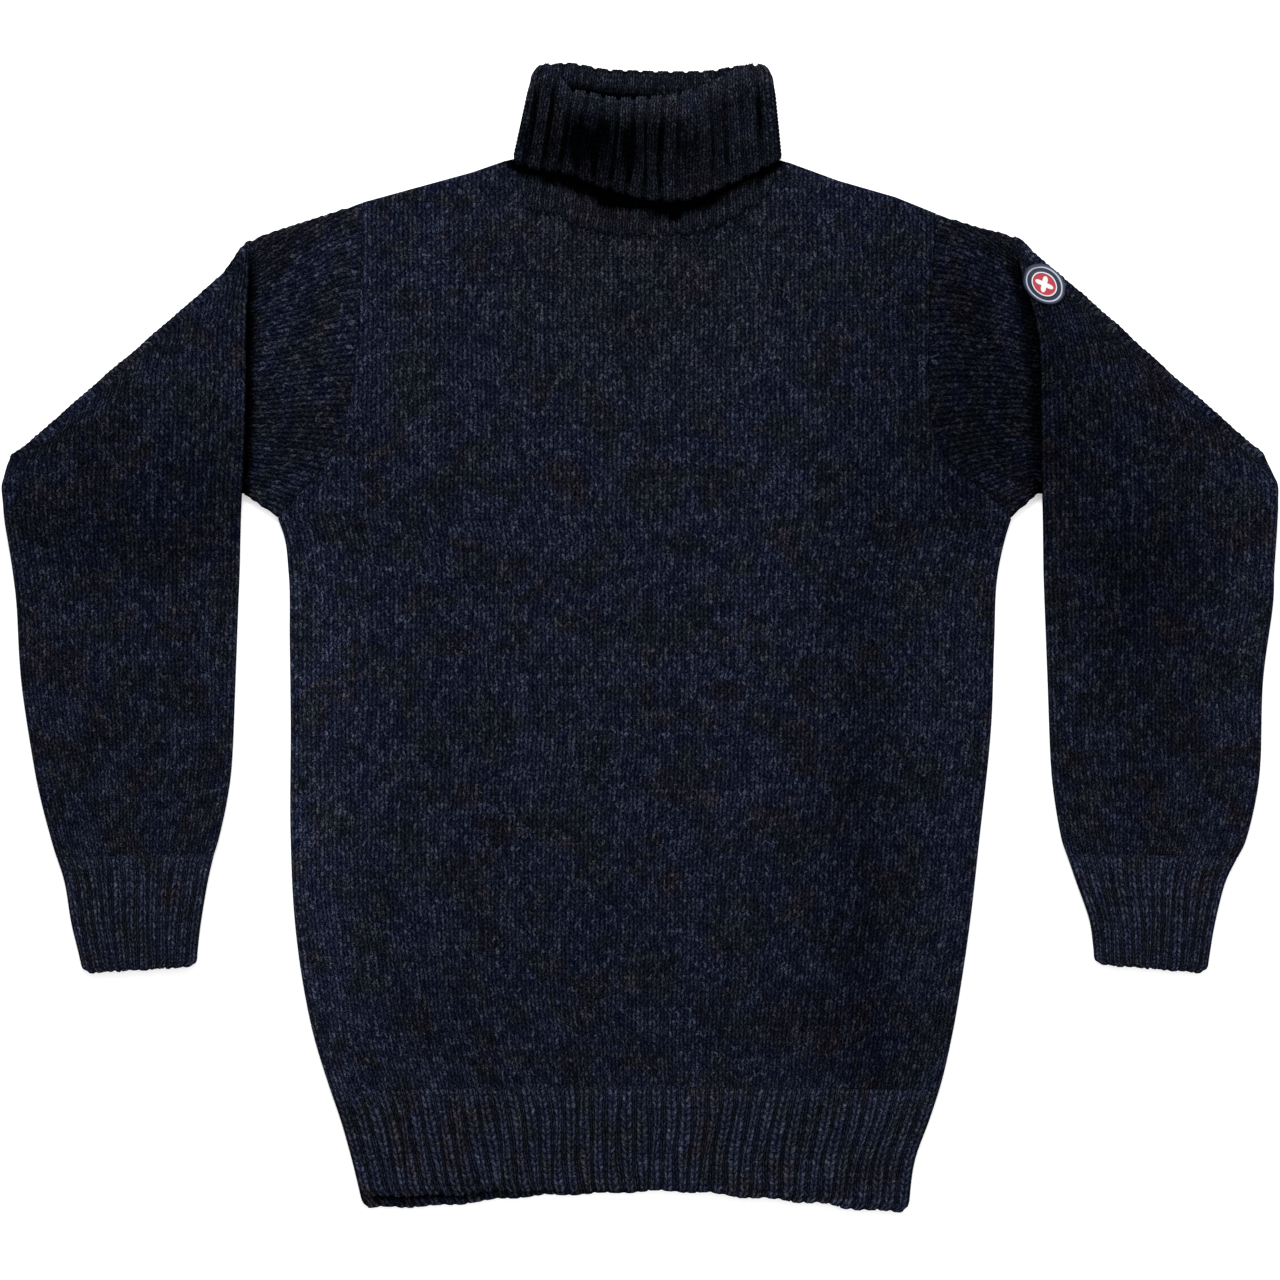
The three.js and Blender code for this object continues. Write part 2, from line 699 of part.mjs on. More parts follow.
const group = new THREE.Group();
group.name = "roll_neck_sweater";
group.add(
  panelSolid("front", frontUpper, frontLower, knit(0x191b26)),
  panelSolid("back", backUpper, backLower, knit(0x171923)),
  stripSolid("front_hem_rib", frontHem, knit(0x1b1d28)),
  stripSolid("back_hem_rib", backHem, knit(0x191b26)),
  sleeveSolid("left_sleeve", leftSleeveCut, knit(0x181a25)),
  sleeveSolid("right_sleeve", rightSleeveCut, knit(0x181a25)),
  cuffSolid("left_cuff", leftSleeveCut, knit(0x1b1d28)),
  cuffSolid("right_cuff", rightSleeveCut, knit(0x1b1d28)),
  collarSolid(knit(0x14151e)),
  badgeSolid(rubber),
);

export default group;
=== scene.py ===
import math

import bmesh
import bpy
import numpy as np
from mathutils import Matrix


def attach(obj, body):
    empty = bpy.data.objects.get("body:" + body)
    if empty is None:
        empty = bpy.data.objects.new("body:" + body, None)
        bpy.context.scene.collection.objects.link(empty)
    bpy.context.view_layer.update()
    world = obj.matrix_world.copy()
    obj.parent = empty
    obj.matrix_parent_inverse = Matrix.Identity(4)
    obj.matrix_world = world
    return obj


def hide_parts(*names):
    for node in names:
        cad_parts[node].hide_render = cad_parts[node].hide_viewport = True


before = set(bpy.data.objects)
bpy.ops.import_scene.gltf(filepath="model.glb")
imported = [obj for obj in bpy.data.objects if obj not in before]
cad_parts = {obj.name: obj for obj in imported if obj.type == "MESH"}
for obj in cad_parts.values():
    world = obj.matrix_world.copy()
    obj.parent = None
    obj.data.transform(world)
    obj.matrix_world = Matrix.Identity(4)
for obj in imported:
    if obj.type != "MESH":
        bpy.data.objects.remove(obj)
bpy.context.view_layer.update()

mm = 0.001


def toLinear(hexColour):
    channels = [int(hexColour[i : i + 2], 16) / 255 for i in (1, 3, 5)]
    return [c / 12.92 if c <= 0.04045 else ((c + 0.055) / 1.055) ** 2.4 for c in channels] + [1.0]


def softStep(t):
    k = np.clip(t, 0, 1)
    return k * k * (3 - 2 * k)


def mix(a, b, t):
    return a + (b - a) * t


def softCurve(xs, ys, x):
    # a smooth line through the table's points
    xs, ys = np.array(xs, float), np.array(ys, float)
    slope = np.gradient(ys, xs)
    i = np.clip(np.searchsorted(xs, x) - 1, 0, len(xs) - 2)
    step = xs[i + 1] - xs[i]
    t = np.clip((x - xs[i]) / step, 0, 1)
    return (
        (2 * t**3 - 3 * t**2 + 1) * ys[i]
        + (t**3 - 2 * t**2 + t) * step * slope[i]
        + (3 * t**2 - 2 * t**3) * ys[i + 1]
        + (t**3 - t**2) * step * slope[i + 1]
    )


def roundOff(distance, width):
    # 0 at an edge, rising to 1 over the given width like a quarter circle
    return np.sqrt(1 - (1 - np.clip(distance, 0, width) / width) ** 2)


# the knit itself, the same numbers in the meshes and in the wool
knit = {
    "courseHeight": 4.6,
    "slant": 0.85,  # how far each leg of a stitch leans into the next row, in rows
    "relief": 1.0,
    "firstRow": -330,  # in mm, from where the rows of body and hem are counted
}
farAway = 99  # in mm, a distance at which an edge has no effect


def stitchHeight(wale, course):
    lean = np.abs(2 * (wale % 1) - 1)
    across = np.sin(math.pi * ((2 * wale) % 1)) ** 0.7
    up = np.sin(math.pi * ((course - knit["slant"] * lean) % 1)) ** 0.6
    return across * (0.4 + 0.6 * up)


def wander(x, y):
    # hand-knitted rows and columns are never quite straight
    dx = 0.55 * np.sin(y / 19 + 1.7 * np.sin(x / 43)) + 0.45 * np.sin(y / 7.3 + x / 11) * np.sin(x / 29 + 2)
    dy = 0.5 * np.sin(x / 17 + 1.3 * np.sin(y / 37)) + 0.4 * np.sin(x / 6.1 - y / 13) * np.sin(y / 31 + 1)
    return dx, dy


def uneven(wale, course):
    # one number from 0 to 1 for each leg of each stitch
    row = course - knit["slant"] * np.abs(2 * (wale % 1) - 1)
    number = np.floor(2 * wale) * 12.9898 + np.floor(row) * 78.233
    return (np.sin(number) * 43758.5453) % 1


def unevenStitch(wale, course):
    # no two loops stand equally high
    return stitchHeight(wale, course) * (0.6 + 0.8 * uneven(wale, course))


def ribShape(share, hollow):
    # share runs over one rib; the hollow is the part of it that sinks back
    side = np.minimum(share % 1, 1 - share % 1)
    return softStep((side - hollow * 0.25) / (hollow * 0.5))


# main creases: from, to, half width and height in mm
creases = [
    (168, 140, 172, -190, 9, -1.6),
    (186, 120, 196, -150, 12, 1.0),
    (-258, 80, -150, 150, 10, 1.3),
    (-240, 60, -120, 90, 12, -1.1),
    (262, 80, 150, 140, 11, 1.2),
    (244, 58, 120, 96, 13, -1.0),
    (-60, 240, -90, -60, 26, 0.9),
    (40, 200, 60, -40, 30, -0.9),
    (-170, -40, -150, -290, 16, 1.1),
    (-110, -80, -96, -300, 20, -1.0),
    (90, -90, 70, -310, 20, 1.0),
    (-20, -150, -24, -320, 16, -0.8),
    (-120, 290, 60, 262, 16, 0.8),
    (-380, 60, -350, -120, 14, 1.3),
    (-330, 40, -320, -130, 12, -1.2),
    (-440, 90, -300, 60, 14, 1.2),
    (-430, 10, -310, 30, 16, -1.0),
    (372, 70, 352, -120, 14, 1.2),
    (410, 50, 396, -130, 13, -1.2),
    (440, 84, 310, 64, 14, 1.2),
    (420, 0, 320, 30, 16, -1.0),
    (-380, -110, -366, -150, 9, -1.4),
    (372, -108, 362, -150, 9, -1.4),
    (-240, 290, -215, 140, 10, 1.0),
    (228, 280, 222, 150, 10, 1.0),
]


def creaseHeight(x, y):
    total = np.zeros_like(x)
    for x0, y0, x1, y1, width, height in creases:
        dx, dy = x1 - x0, y1 - y0
        long = math.hypot(dx, dy)
        along = ((x - x0) * dx + (y - y0) * dy) / long
        off = (-(x - x0) * dy + (y - y0) * dx) / long
        ends = softStep((along + width) / (2.5 * width)) * softStep((long + width - along) / (2.5 * width))
        total += height * np.exp(-((off / width) ** 2)) * ends
    # slow unevenness of cloth that lies on cloth
    total += 0.5 * np.sin(x / 47 + 1.3) * np.sin(y / 61 + 0.4) + 0.35 * np.sin(x / 23 - y / 80)
    return total


# broad shades of the slopes that face away from the light
# each row: middle and half sizes in mm, darkness
# this is painted shade, and a row with darkness below zero is painted light
shades = [
    (161, -115, 30, 330, 0.3),
    (150, -240, 60, 160, 0.1),
    (-246, -140, 40, 260, -0.5),
    (-20, -250, 150, 90, 0.07),
    (-255, 215, 46, 100, 0.17),
    (-225, 120, 40, 50, 0.1),
    (236, 190, 48, 120, 0.55),
    (-350, 110, 130, 62, 0.3),
    (-345, -40, 90, 160, 0.05),
    (300, 175, 34, 70, 0.3),
    (350, 90, 66, 110, 0.32),
    (362, -40, 44, 130, 0.22),
    (440, 60, 20, 120, -0.12),
]


def shadeAt(x, y):
    total = np.zeros_like(x)
    for cx, cy, wide, high, dark in shades:
        total += dark * np.exp(-(((x - cx) / wide) ** 2) - ((y - cy) / high) ** 4)
    return total


def addNode(tree, kind, settings=None, inputs=None):
    node = tree.nodes.new(kind)
    for name, value in (settings or {}).items():
        setattr(node, name, value)
    for name, value in (inputs or {}).items():
        if isinstance(value, bpy.types.NodeSocket):
            tree.links.new(value, node.inputs[name])
        else:
            node.inputs[name].default_value = value
    return node


wool = {
    "navy": "#1a1c24",
    "blue": "#1c1f29",
    "charcoal": "#181a1d",
    "brown": "#1c191b",
    "gapBlue": "#00020f",
    "gapGrey": "#010309",
    "gain": 0.875,
    # gapDark sets how light the painted shade in the gaps stays
    "gapDark": 0.09,  # how light the bottom of a gap stays
    "legContrast": 1.25,
    "pullSize": 2.4,  # in mm, how far apart the loose fibres pull
    "fibreSize": 0.95,  # in mm; real fibres are far finer, and this is what the picture can show
    "otherSize": 46,  # in mm, the places where the dull fleece turns brown
    "neck": (5, 290, 8),  # in mm, the middle of the greyer fleece
    "neckReach": (60, 150),  # in mm, where it starts to fade and where it ends
    "neckGrey": 0.8,
    "yarnTone": (0.82, 1.18),  # how light the yarn is where it is darkest and lightest
    "fibreTone": 2.15,  # how light the lightest fibres are
    # how far loose fibres pull the stitches out of line, in wales and in rows
    "hairy": (0.16, 0.4),
}


def knittedWool(name, gain=1.0, grey=0.0, loose=1.0):
    # heavy woollen yarn spun from dyed fleece of several darks
    # to the eye it is dull and hairy; painted shade darkens the gaps between the loops and a painted
    # highlight lightens the loop tops
    material = bpy.data.materials.new(name)
    material.use_nodes = True
    tree = material.node_tree
    tree.nodes.clear()

    def calc(operation, *values):
        inputs = {i: value for i, value in enumerate(values)}
        return addNode(tree, "ShaderNodeMath", {"operation": operation}, inputs).outputs[0]

    def noise(vector, scale, detail=2.0, rough=0.5):
        inputs = {"Vector": vector, "Scale": scale, "Detail": detail, "Roughness": rough}
        return addNode(tree, "ShaderNodeTexNoise", None, inputs).outputs[0]

    def span(value, low, high, toLow, toHigh):
        inputs = {0: value, 1: low, 2: high, 3: toLow, 4: toHigh}
        return addNode(tree, "ShaderNodeMapRange", None, inputs).outputs[0]

    place = addNode(tree, "ShaderNodeUVMap", {"uv_map": "knit"}).outputs[0]
    spot = addNode(tree, "ShaderNodeTexCoord").outputs["Object"]
    split = addNode(tree, "ShaderNodeSeparateXYZ", None, {0: place})
    inputs = {"Vector": spot, "Scale": 1 / (wool["pullSize"] * mm), "Detail": 1.0}
    pulled = addNode(tree, "ShaderNodeTexNoise", None, inputs).outputs[1]
    pulls = addNode(tree, "ShaderNodeSeparateXYZ", None, {0: pulled})
    pull = [4 * loose * distance for distance in wool["hairy"]]
    sideways, along = (calc("MULTIPLY_ADD", pulls.outputs[i], pull[i], -pull[i] / 2) for i in (0, 1))
    wale, course = calc("ADD", split.outputs[0], sideways), calc("ADD", split.outputs[1], along)
    lean = calc("ABSOLUTE", calc("MULTIPLY_ADD", calc("FRACT", wale), 2.0, -1.0))
    row = calc("MULTIPLY_ADD", lean, -knit["slant"], course)
    leg = calc("MULTIPLY", wale, 2.0)
    across = calc("SINE", calc("MULTIPLY", calc("FRACT", leg), math.pi))
    up = calc("SINE", calc("MULTIPLY", calc("FRACT", row), math.pi))
    stitch = calc("MULTIPLY", across, calc("MULTIPLY_ADD", up, 0.85, 0.15))

    # each leg of each stitch has its own tone, and the yarn changes slowly along a row
    inputs = {0: calc("FLOOR", leg), 1: calc("FLOOR", row)}
    cell = addNode(tree, "ShaderNodeCombineXYZ", None, inputs).outputs[0]
    flat = {"noise_dimensions": "2D"}
    single = addNode(tree, "ShaderNodeTexWhiteNoise", flat, {"Vector": cell}).outputs[0]
    inputs = {"Vector": place, "Scale": (0.45, 0.8, 1.0)}
    stretched = addNode(tree, "ShaderNodeMapping", None, inputs).outputs[0]
    yarnTone = span(noise(stretched, 1.0, 3.0, 0.6), 0.3, 0.7, *wool["yarnTone"])
    fibre = noise(spot, 1 / (wool["fibreSize"] * mm), 1.0, 0.5)
    fibreTone = span(fibre, 0.3, 0.7, 0.0, wool["fibreTone"])
    contrast = wool["legContrast"] * loose
    legTone = calc("MULTIPLY_ADD", calc("POWER", single, 2.0), contrast, 0.917 - contrast / 3)
    # painted shade in the gaps between the loops, painted highlight on their tops
    body = calc("MULTIPLY_ADD", calc("POWER", stitch, 1.2), 1.95, wool["gapDark"])

    # the fleece's colours lie in soft patches, a few stitches to a hand's breadth wide
    inputs = {"Vector": place, "Scale": (0.16, 0.13, 1.0)}
    patch = noise(addNode(tree, "ShaderNodeMapping", None, inputs).outputs[0], 1.0, 3.0, 0.65)
    other = noise(spot, 1 / (wool["otherSize"] * mm), 3.0, 0.6)
    neutral = span(patch, 0.46 - grey, 0.58 - grey, 0.0, 0.9)
    warm = span(other, 0.47, 0.6, 0.0, 0.9)
    # it is greyer round the neck
    inputs = {0: spot, 1: [c * mm for c in wool["neck"]]}
    away = addNode(tree, "ShaderNodeVectorMath", {"operation": "DISTANCE"}, inputs).outputs["Value"]
    near, far = (distance * mm for distance in wool["neckReach"])
    neutral = calc("MAXIMUM", neutral, span(away, near, far, wool["neckGrey"], 0.0))

    def blend(factor, first, second):
        node = addNode(tree, "ShaderNodeMix", {"data_type": "RGBA"}, {0: factor})
        for socket, value in ((node.inputs[6], first), (node.inputs[7], second)):
            if isinstance(value, bpy.types.NodeSocket):
                tree.links.new(value, socket)
            else:
                socket.default_value = toLinear(value)
        return node.outputs[2]

    blues = blend(fibre, wool["navy"], wool["blue"])
    dull = blend(warm, wool["charcoal"], wool["brown"])
    hue = blend(neutral, blues, dull)

    # painted shading: the sunk wales of the ribs and the hollows beside raised edges get painted shade, and
    # values below zero add painted light
    hollow = addNode(tree, "ShaderNodeAttribute", {"attribute_name": "paintedShading"}).outputs["Fac"]
    lit = calc("MULTIPLY_ADD", hollow, -0.97, 1.0)
    shade = calc("MULTIPLY", calc("MULTIPLY", body, legTone), calc("MULTIPLY", yarnTone, fibreTone))
    shade = calc("MULTIPLY", shade, gain * wool["gain"])
    between = blend(neutral, wool["gapBlue"], wool["gapGrey"])
    scale, add = {"operation": "SCALE"}, {"operation": "ADD"}
    scaled = addNode(tree, "ShaderNodeVectorMath", scale, {0: hue, "Scale": shade}).outputs[0]
    tinted = addNode(tree, "ShaderNodeVectorMath", add, {0: scaled, 1: between}).outputs[0]
    colour = addNode(tree, "ShaderNodeVectorMath", scale, {0: tinted, "Scale": lit}).outputs[0]
    ridges = calc("MULTIPLY_ADD", fibre, 0.5, stitch)
    inputs = {"Strength": 0.8, "Distance": 1.0 * mm, "Height": ridges}
    bump = addNode(tree, "ShaderNodeBump", None, inputs).outputs[0]
    inputs = {"Base Color": colour, "Roughness": 1.0, "Specular IOR Level": 0.0, "Normal": bump}
    shader = addNode(tree, "ShaderNodeBsdfPrincipled", None, inputs)
    addNode(tree, "ShaderNodeOutputMaterial", None, {"Surface": shader.outputs[0]})
    return material


bodyWool = knittedWool("knittedWoolBody")
sleeveWool = knittedWool("knittedWoolSleeve", grey=0.03)
ribWool = knittedWool("knittedWoolRib", 1.41, loose=0.6)
collarWool = knittedWool("knittedWoolCollar", 1.02, 0.12, 0.85)
print("wool materials made")


def gridPiece(name, us, vs, place, material):
    # a flat grid whose columns and rows are put where place() says
    # edges that come together are joined, and the knit's columns and rows become its UV map
    bm = bmesh.new()
    bmesh.ops.create_grid(bm, x_segments=len(us) - 1, y_segments=len(vs) - 1, size=0.5)
    mesh = bpy.data.meshes.new(name)
    bm.to_mesh(mesh)
    bm.free()
    count = len(mesh.vertices)
    flat = np.empty(count * 3)
    mesh.vertices.foreach_get("co", flat)
    flat = flat.reshape(-1, 3)
    i = np.rint((flat[:, 0] + 0.5) * (len(us) - 1)).astype(int)
    j = np.rint((flat[:, 1] + 0.5) * (len(vs) - 1)).astype(int)
    x, y, z, wale, course, paintedShading = place(np.array(us)[i], np.array(vs)[j])
    mesh.vertices.foreach_set("co", (np.stack([x, y, z], 1) * mm).astype(np.float32).ravel())
    corners = np.empty(len(mesh.loops), int)
    mesh.loops.foreach_get("vertex_index", corners)
    uv = mesh.uv_layers.new(name="knit")
    uv.data.foreach_set("uv", np.stack([wale[corners], course[corners]], 1).astype(np.float32).ravel())
    # each point also carries its painted light and shade, which the wool reads
    layer = mesh.attributes.new("paintedShading", "FLOAT", "POINT")
    layer.data.foreach_set("value", np.clip(paintedShading, -1, 1).astype(np.float32))
    bm = bmesh.new()
    bm.from_mesh(mesh)
    bmesh.ops.remove_doubles(bm, verts=bm.verts, dist=0.04 * mm)
    bmesh.ops.dissolve_degenerate(bm, edges=bm.edges, dist=0.01 * mm)
    bmesh.ops.recalc_face_normals(bm, faces=bm.faces)
    bm.to_mesh(mesh)
    bm.free()
    mesh.shade_smooth()
    mesh.materials.append(material)
    piece = bpy.data.objects.new(name, mesh)
    bpy.context.scene.collection.objects.link(piece)
    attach(piece, "root")
    print(name, "has", sum(len(p.vertices) - 2 for p in mesh.polygons), "triangles")
    return piece


# body: the same outline as the solids, in mm
body = {
    "y": [
        -412, -374, -346, -322, -288, -242, -202, -144, -58, 0,
        50, 76, 88, 104, 124, 146, 178, 226, 272, 314,
    ],
    "right": [
        -199, -208.1, -216, -224.2, -234.7, -244.1, -249.1, -252, -252, -252.7,
        -253.6, -257, -261.4, -247.6, -228.8, -216.6, -209, -202.8, -200.9, -200.2,
    ],
    "left": [
        193.5, 198.7, 208.8, 216.6, 224.6, 232.6, 238.3, 244.8, 253.6, 255.6,
        258.4, 264.2, 268, 252.2, 227.6, 213.4, 208.6, 208.6, 211.6, 213.8,
    ],
    "underarm": 88,
    "lowY": -326,
    "highY": 347.4,
    "shoulderX": [-200.2, -164, -121, -98, -90, 99, 108, 143, 184, 213.8],
    "shoulderY": [315.6, 325.6, 337.4, 345.4, 347.2, 346.6, 344.2, 331.4, 319.6, 307.6],
    "neckX": [-90, -86, -61, -36, 0, 43, 76, 94, 99],
    "frontNeckY": [347.2, 331.6, 311, 299.6, 295.2, 299.6, 314, 331.6, 346.6],
    "backNeckY": [347.2, 344, 341, 339, 338, 339, 341, 344, 346.6],
    "hemX": [-226, -172, -115, -58, 0, 58, 115, 184, 220],
    "frontHemY": [-402.4, -400.4, -397.8, -397, -396.6, -398.6, -404, -411.2, -411.8],
    "backHemY": [-411, -409, -403.9, -400.3, -398.2, -399.6, -404.4, -411, -411.6],
    "ribStartY": [-325.4, -323.8, -322.6, -321.6, -321.2, -321.6, -322.6, -324, -325.4],
    "seamZ": 3.15,
    "frontZ": 6.3,
    "wales": 81,
}


def bodySide(side, y):
    # the underarm is a corner, so each stretch is smoothed on its own
    k = body["y"].index(body["underarm"])
    low = softCurve(body["y"][: k + 1], body[side][: k + 1], y)
    high = softCurve(body["y"][k:], body[side][k:], y)
    return np.where(y < body["underarm"], low, high)


def acrossNeck(x):
    return (x >= body["neckX"][0]) & (x <= body["neckX"][-1])


def topLine(x, neckY):
    shoulder = np.interp(x, body["shoulderX"], body["shoulderY"])
    neck = softCurve(body["neckX"], body[neckY], x)
    return np.where(acrossNeck(x), neck, shoulder)


def bodyPlan(u, y, neckY):
    # straight wales: columns keep their place and stop where the armhole cuts them
    wide = np.minimum(y, body["underarm"])
    x = mix(bodySide("right", wide), bodySide("left", wide), u)
    x = np.clip(x, bodySide("right", y), bodySide("left", y))
    start = np.interp(x, body["hemX"], body["ribStartY"])
    top = topLine(x, neckY)
    return x, np.clip(y, start, top), top


def panelRim(x, y, top):
    # distance to the side, where that side is free of a sleeve, distance to the shoulder, rounding
    side = np.minimum(x - bodySide("right", y), bodySide("left", y) - x)
    free = softStep((body["underarm"] + 6 - y) / 12)
    shoulder = np.where(acrossNeck(x), farAway, top - y)
    return side, free, shoulder, mix(1, roundOff(side, 7), free) * roundOff(shoulder, 6)


def bodyFront(u, v):
    # v runs from below the hem rib to above the shoulders
    x, y, top = bodyPlan(u, mix(body["lowY"], body["highY"], v), "frontNeckY")
    side, free, shoulder, edge = panelRim(x, y, top)
    # the panel is fullest in the middle and thins to the seams
    crown = 1.2 * softStep(side / 60) * softStep((y + 322) / 90) * softStep((290 - y) / 60)
    full = body["frontZ"] + crown + creaseHeight(x, y) * softStep(side / 18)
    wale, course = body["wales"] * u, (y - knit["firstRow"]) / knit["courseHeight"]
    relief = unevenStitch(wale, course) * knit["relief"]
    fade = softStep(side / 2.0) * softStep(shoulder / 2.0)
    full = full + (relief - 0.4) * fade
    # ridge of turned stitches beside the armhole, and a groove at the seam
    seamRidge = 0.8 * np.exp(-(((side - 4.2) / 2.4) ** 2)) - 0.4 * np.exp(-((side / 1.2) ** 2))
    full = full + seamRidge * (1 - free)
    neckEdge = np.where(acrossNeck(x), top - y, farAway)
    full = full + 0.3 * np.exp(-(((neckEdge - 3) / 2.6) ** 2))
    z = mix(body["seamZ"], full, edge)
    z = np.where((side < 0.01) & (free > 0.5), body["seamZ"], z)
    # painted shading: shade in the groove at the armhole seam and light on the ridge beside it, light along
    # the neck edge, the broad shades, and the shadow under the collar
    paintedShading = (0.12 * np.exp(-((side / 1.5) ** 2)) - 0.25 * np.exp(-(((side - 4.5) / 2.6) ** 2))) * (1 - free)
    paintedShading = paintedShading + shadeAt(x, y) - 0.35 * np.exp(-((neckEdge / 2.5) ** 2))
    paintedShading = mix(paintedShading, 1, underCollar(x, y))
    dx, dy = wander(x, y)
    inner = softStep(side / 14) * softStep((y + 318) / 14) * softStep((np.minimum(top, 340) - y) / 14)
    return x + dx * inner, y + dy * inner, z, wale, course, paintedShading


def bodyBack(u, v):
    # the back lies on the table, so only its rim shows
    x, y, top = bodyPlan(u, mix(body["lowY"], body["highY"], v), "backNeckY")
    edge = panelRim(x, y, top)[-1]
    wale, course = body["wales"] * u, (y - knit["firstRow"]) / knit["courseHeight"]
    under = 0.25 * stitchHeight(wale, course)
    z = mix(body["seamZ"] - 0.05, 0.3 - under, edge)
    return x, y, z, wale, course, np.zeros_like(x)


# hem: one wale up, one wale back
hem = {
    "ribs": 42,
    "columnsPerRib": 8,
    "rows": 37,
    "hollow": 0.26,
    "ribHeight": 1.5,
    "edgeRadius": 1.6,
    "corner": 3.6,
    "long": 84,
    "wide": 440,
    "ends": (-223, 215.5),
}


def ribWale(u, ribs, perRib, hollow):
    # the raised wales take up most of the rib, and the sunk wale is squeezed between them
    share = u * ribs
    inside = share % 1
    raised = perRib - 1
    warped = np.interp(inside, [0, hollow / 2, 1 - hollow / 2, 1], [0, 0.5, raised + 0.5, perRib])
    return np.floor(share) * perRib + warped + 0.5


def hemPiece(edgeKey, front):
    zLow, zHigh = (3.3, body["frontZ"]) if front else (0.0, 2.9)

    def place(u, v):
        # v: 0 to 1 outer face down to the edge, 1 to 2 round it, above 2 a little way back up inside
        t = np.where(v <= 1, v, np.where(v <= 2, 1, 3 - v))
        angle = np.clip(v - 1, 0, 1) * math.pi
        rowX = mix(*hem["ends"], u)
        start = np.interp(rowX, body["hemX"], body["ribStartY"])
        end = np.interp(rowX, body["hemX"], body[edgeKey]) + hem["edgeRadius"]
        end = end + 0.7 * np.sin(u * 61) + 0.5 * np.sin(u * 23 + 1)
        y = mix(start, end, t)
        rounding = hem["corner"] * (1 - roundOff((1 - t) * hem["long"], 2 * hem["corner"]))
        x = mix(bodySide("right", y) + rounding, bodySide("left", y) - rounding, u)
        side = np.minimum(u, 1 - u) * hem["wide"]
        edge = roundOff(side, 6)
        shape = ribShape(u * hem["ribs"], hem["hollow"])
        wale = ribWale(u, hem["ribs"], 2, hem["hollow"])
        course = (y - knit["firstRow"]) / knit["courseHeight"]
        gather = softStep(t * 5)
        loops = (0.9 * unevenStitch(wale, course) - 0.4) * mix(1, shape, gather)
        lift = (hem["ribHeight"] * (shape - 0.7) * gather + loops) * softStep(side / 2)
        middle, half = (zLow + zHigh) / 2, (zHigh - zLow) / 2
        reach = half * np.cos(angle) * (1 if front else -1)
        slope = creaseHeight(x, y) * 0.7 * softStep(side / 18) if front else 0
        visible = np.cos(angle) > 0
        relief = np.where(visible, lift if front else -0.3 * lift, lift * (0.25 if front else 0.8))
        z = middle + reach + slope + relief
        if not front:
            z = np.maximum(z, 0.05)
        z = mix(body["seamZ"] - (0 if front else 0.05), z, edge)
        y = y - hem["edgeRadius"] * np.sin(angle) * (0.5 + 0.5 * shape)
        # the ribs lean and crowd a little
        bend = softStep(t * 3) * softStep(side / 30)
        leans = 1.5 * np.sin(u * 23 + 2 * t) + 1.1 * np.sin(u * 71 + 3 * t + 1) * t
        x = x + bend * (leans + 0.7 * np.sin(u * 190 + 5 * t))
        # painted shade in the sunk wales of the rib, with a trace of painted light on the raised ones
        paintedShading = (0.6 * (1 - shape) - 0.04) * gather
        if not front:
            # the back's edge is in deep shade where the front covers it
            frontEdge = np.interp(rowX, body["hemX"], body["frontHemY"])
            strip = softStep((y - frontEdge + 4.2) / 2.6) * softStep((x + 201) / 12)
            paintedShading = np.maximum(paintedShading, 0.97 * strip * (1 - 0.6 * softStep((x + 110) / 40)))
        return x, y, z, wale, course, paintedShading

    return place


columns = np.linspace(0, 1, hem["ribs"] * hem["columnsPerRib"] + 1)
rows = list(np.linspace(0, 1, hem["rows"])) + [1.25, 1.5, 1.75, 2, 2.08, 2.16]
frontHem = gridPiece("frontHemRib", columns, rows, hemPiece("frontHemY", True), ribWool)
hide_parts("front_hem_rib")
backHem = gridPiece("backHemRib", columns, rows, hemPiece("backHemY", False), ribWool)
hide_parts("back_hem_rib")
print("hem made")


# sleeves: a flat tube from the armhole to the fold, round it, and down over itself
sleeve = {
    "axis": 8.0,  # in mm, how high the middle of the fold lies
    "thick": 6.9,
    "edge": 11,
    "foldLong": 210,
    "wales": 54,
    "rows": 242,
    "lean": 0.05,
}
rightCut = {
    "side": "right",
    "outward": -1,
    "elbow": [(-262, 295.9), (-285.8, 105)],
    "fold": {
        "share": [0, 0.1, 0.94, 1],
        "x": [-283.3, -301, -445.6, -458.3],
        "y": [290.6, 262.5, 138.4, 130.6],
    },
    "shadeWide": 7.5,
    "shadeDepth": 1.0,
    "hanging": [
        [(-282.4, 236), (-458.4, 112)], [(-283, 190), (-457.6, 98)], [(-284, 142), (-456.6, 84)],
        [(-286, 100), (-454.6, 68)], [(-288, 62), (-452, 46)], [(-289.6, 26), (-449.6, 24)],
        [(-291.6, -28), (-446.4, -29)], [(-294, -86), (-437.8, -87)], [(-297.6, -115), (-432, -116)],
        [(-303.4, -142), (-424.6, -144)], [(-307, -154), (-420.8, -156.6)],
    ],
    "cuff": [
        [(-307.1, -154), (-420.7, -156.6)], [(-311.6, -174), (-414.9, -176)],
        [(-316.1, -201), (-410.4, -204)], [(-318.6, -221), (-405.2, -226)],
        [(-319.6, -235.6), (-402, -240.4)],
    ],
}
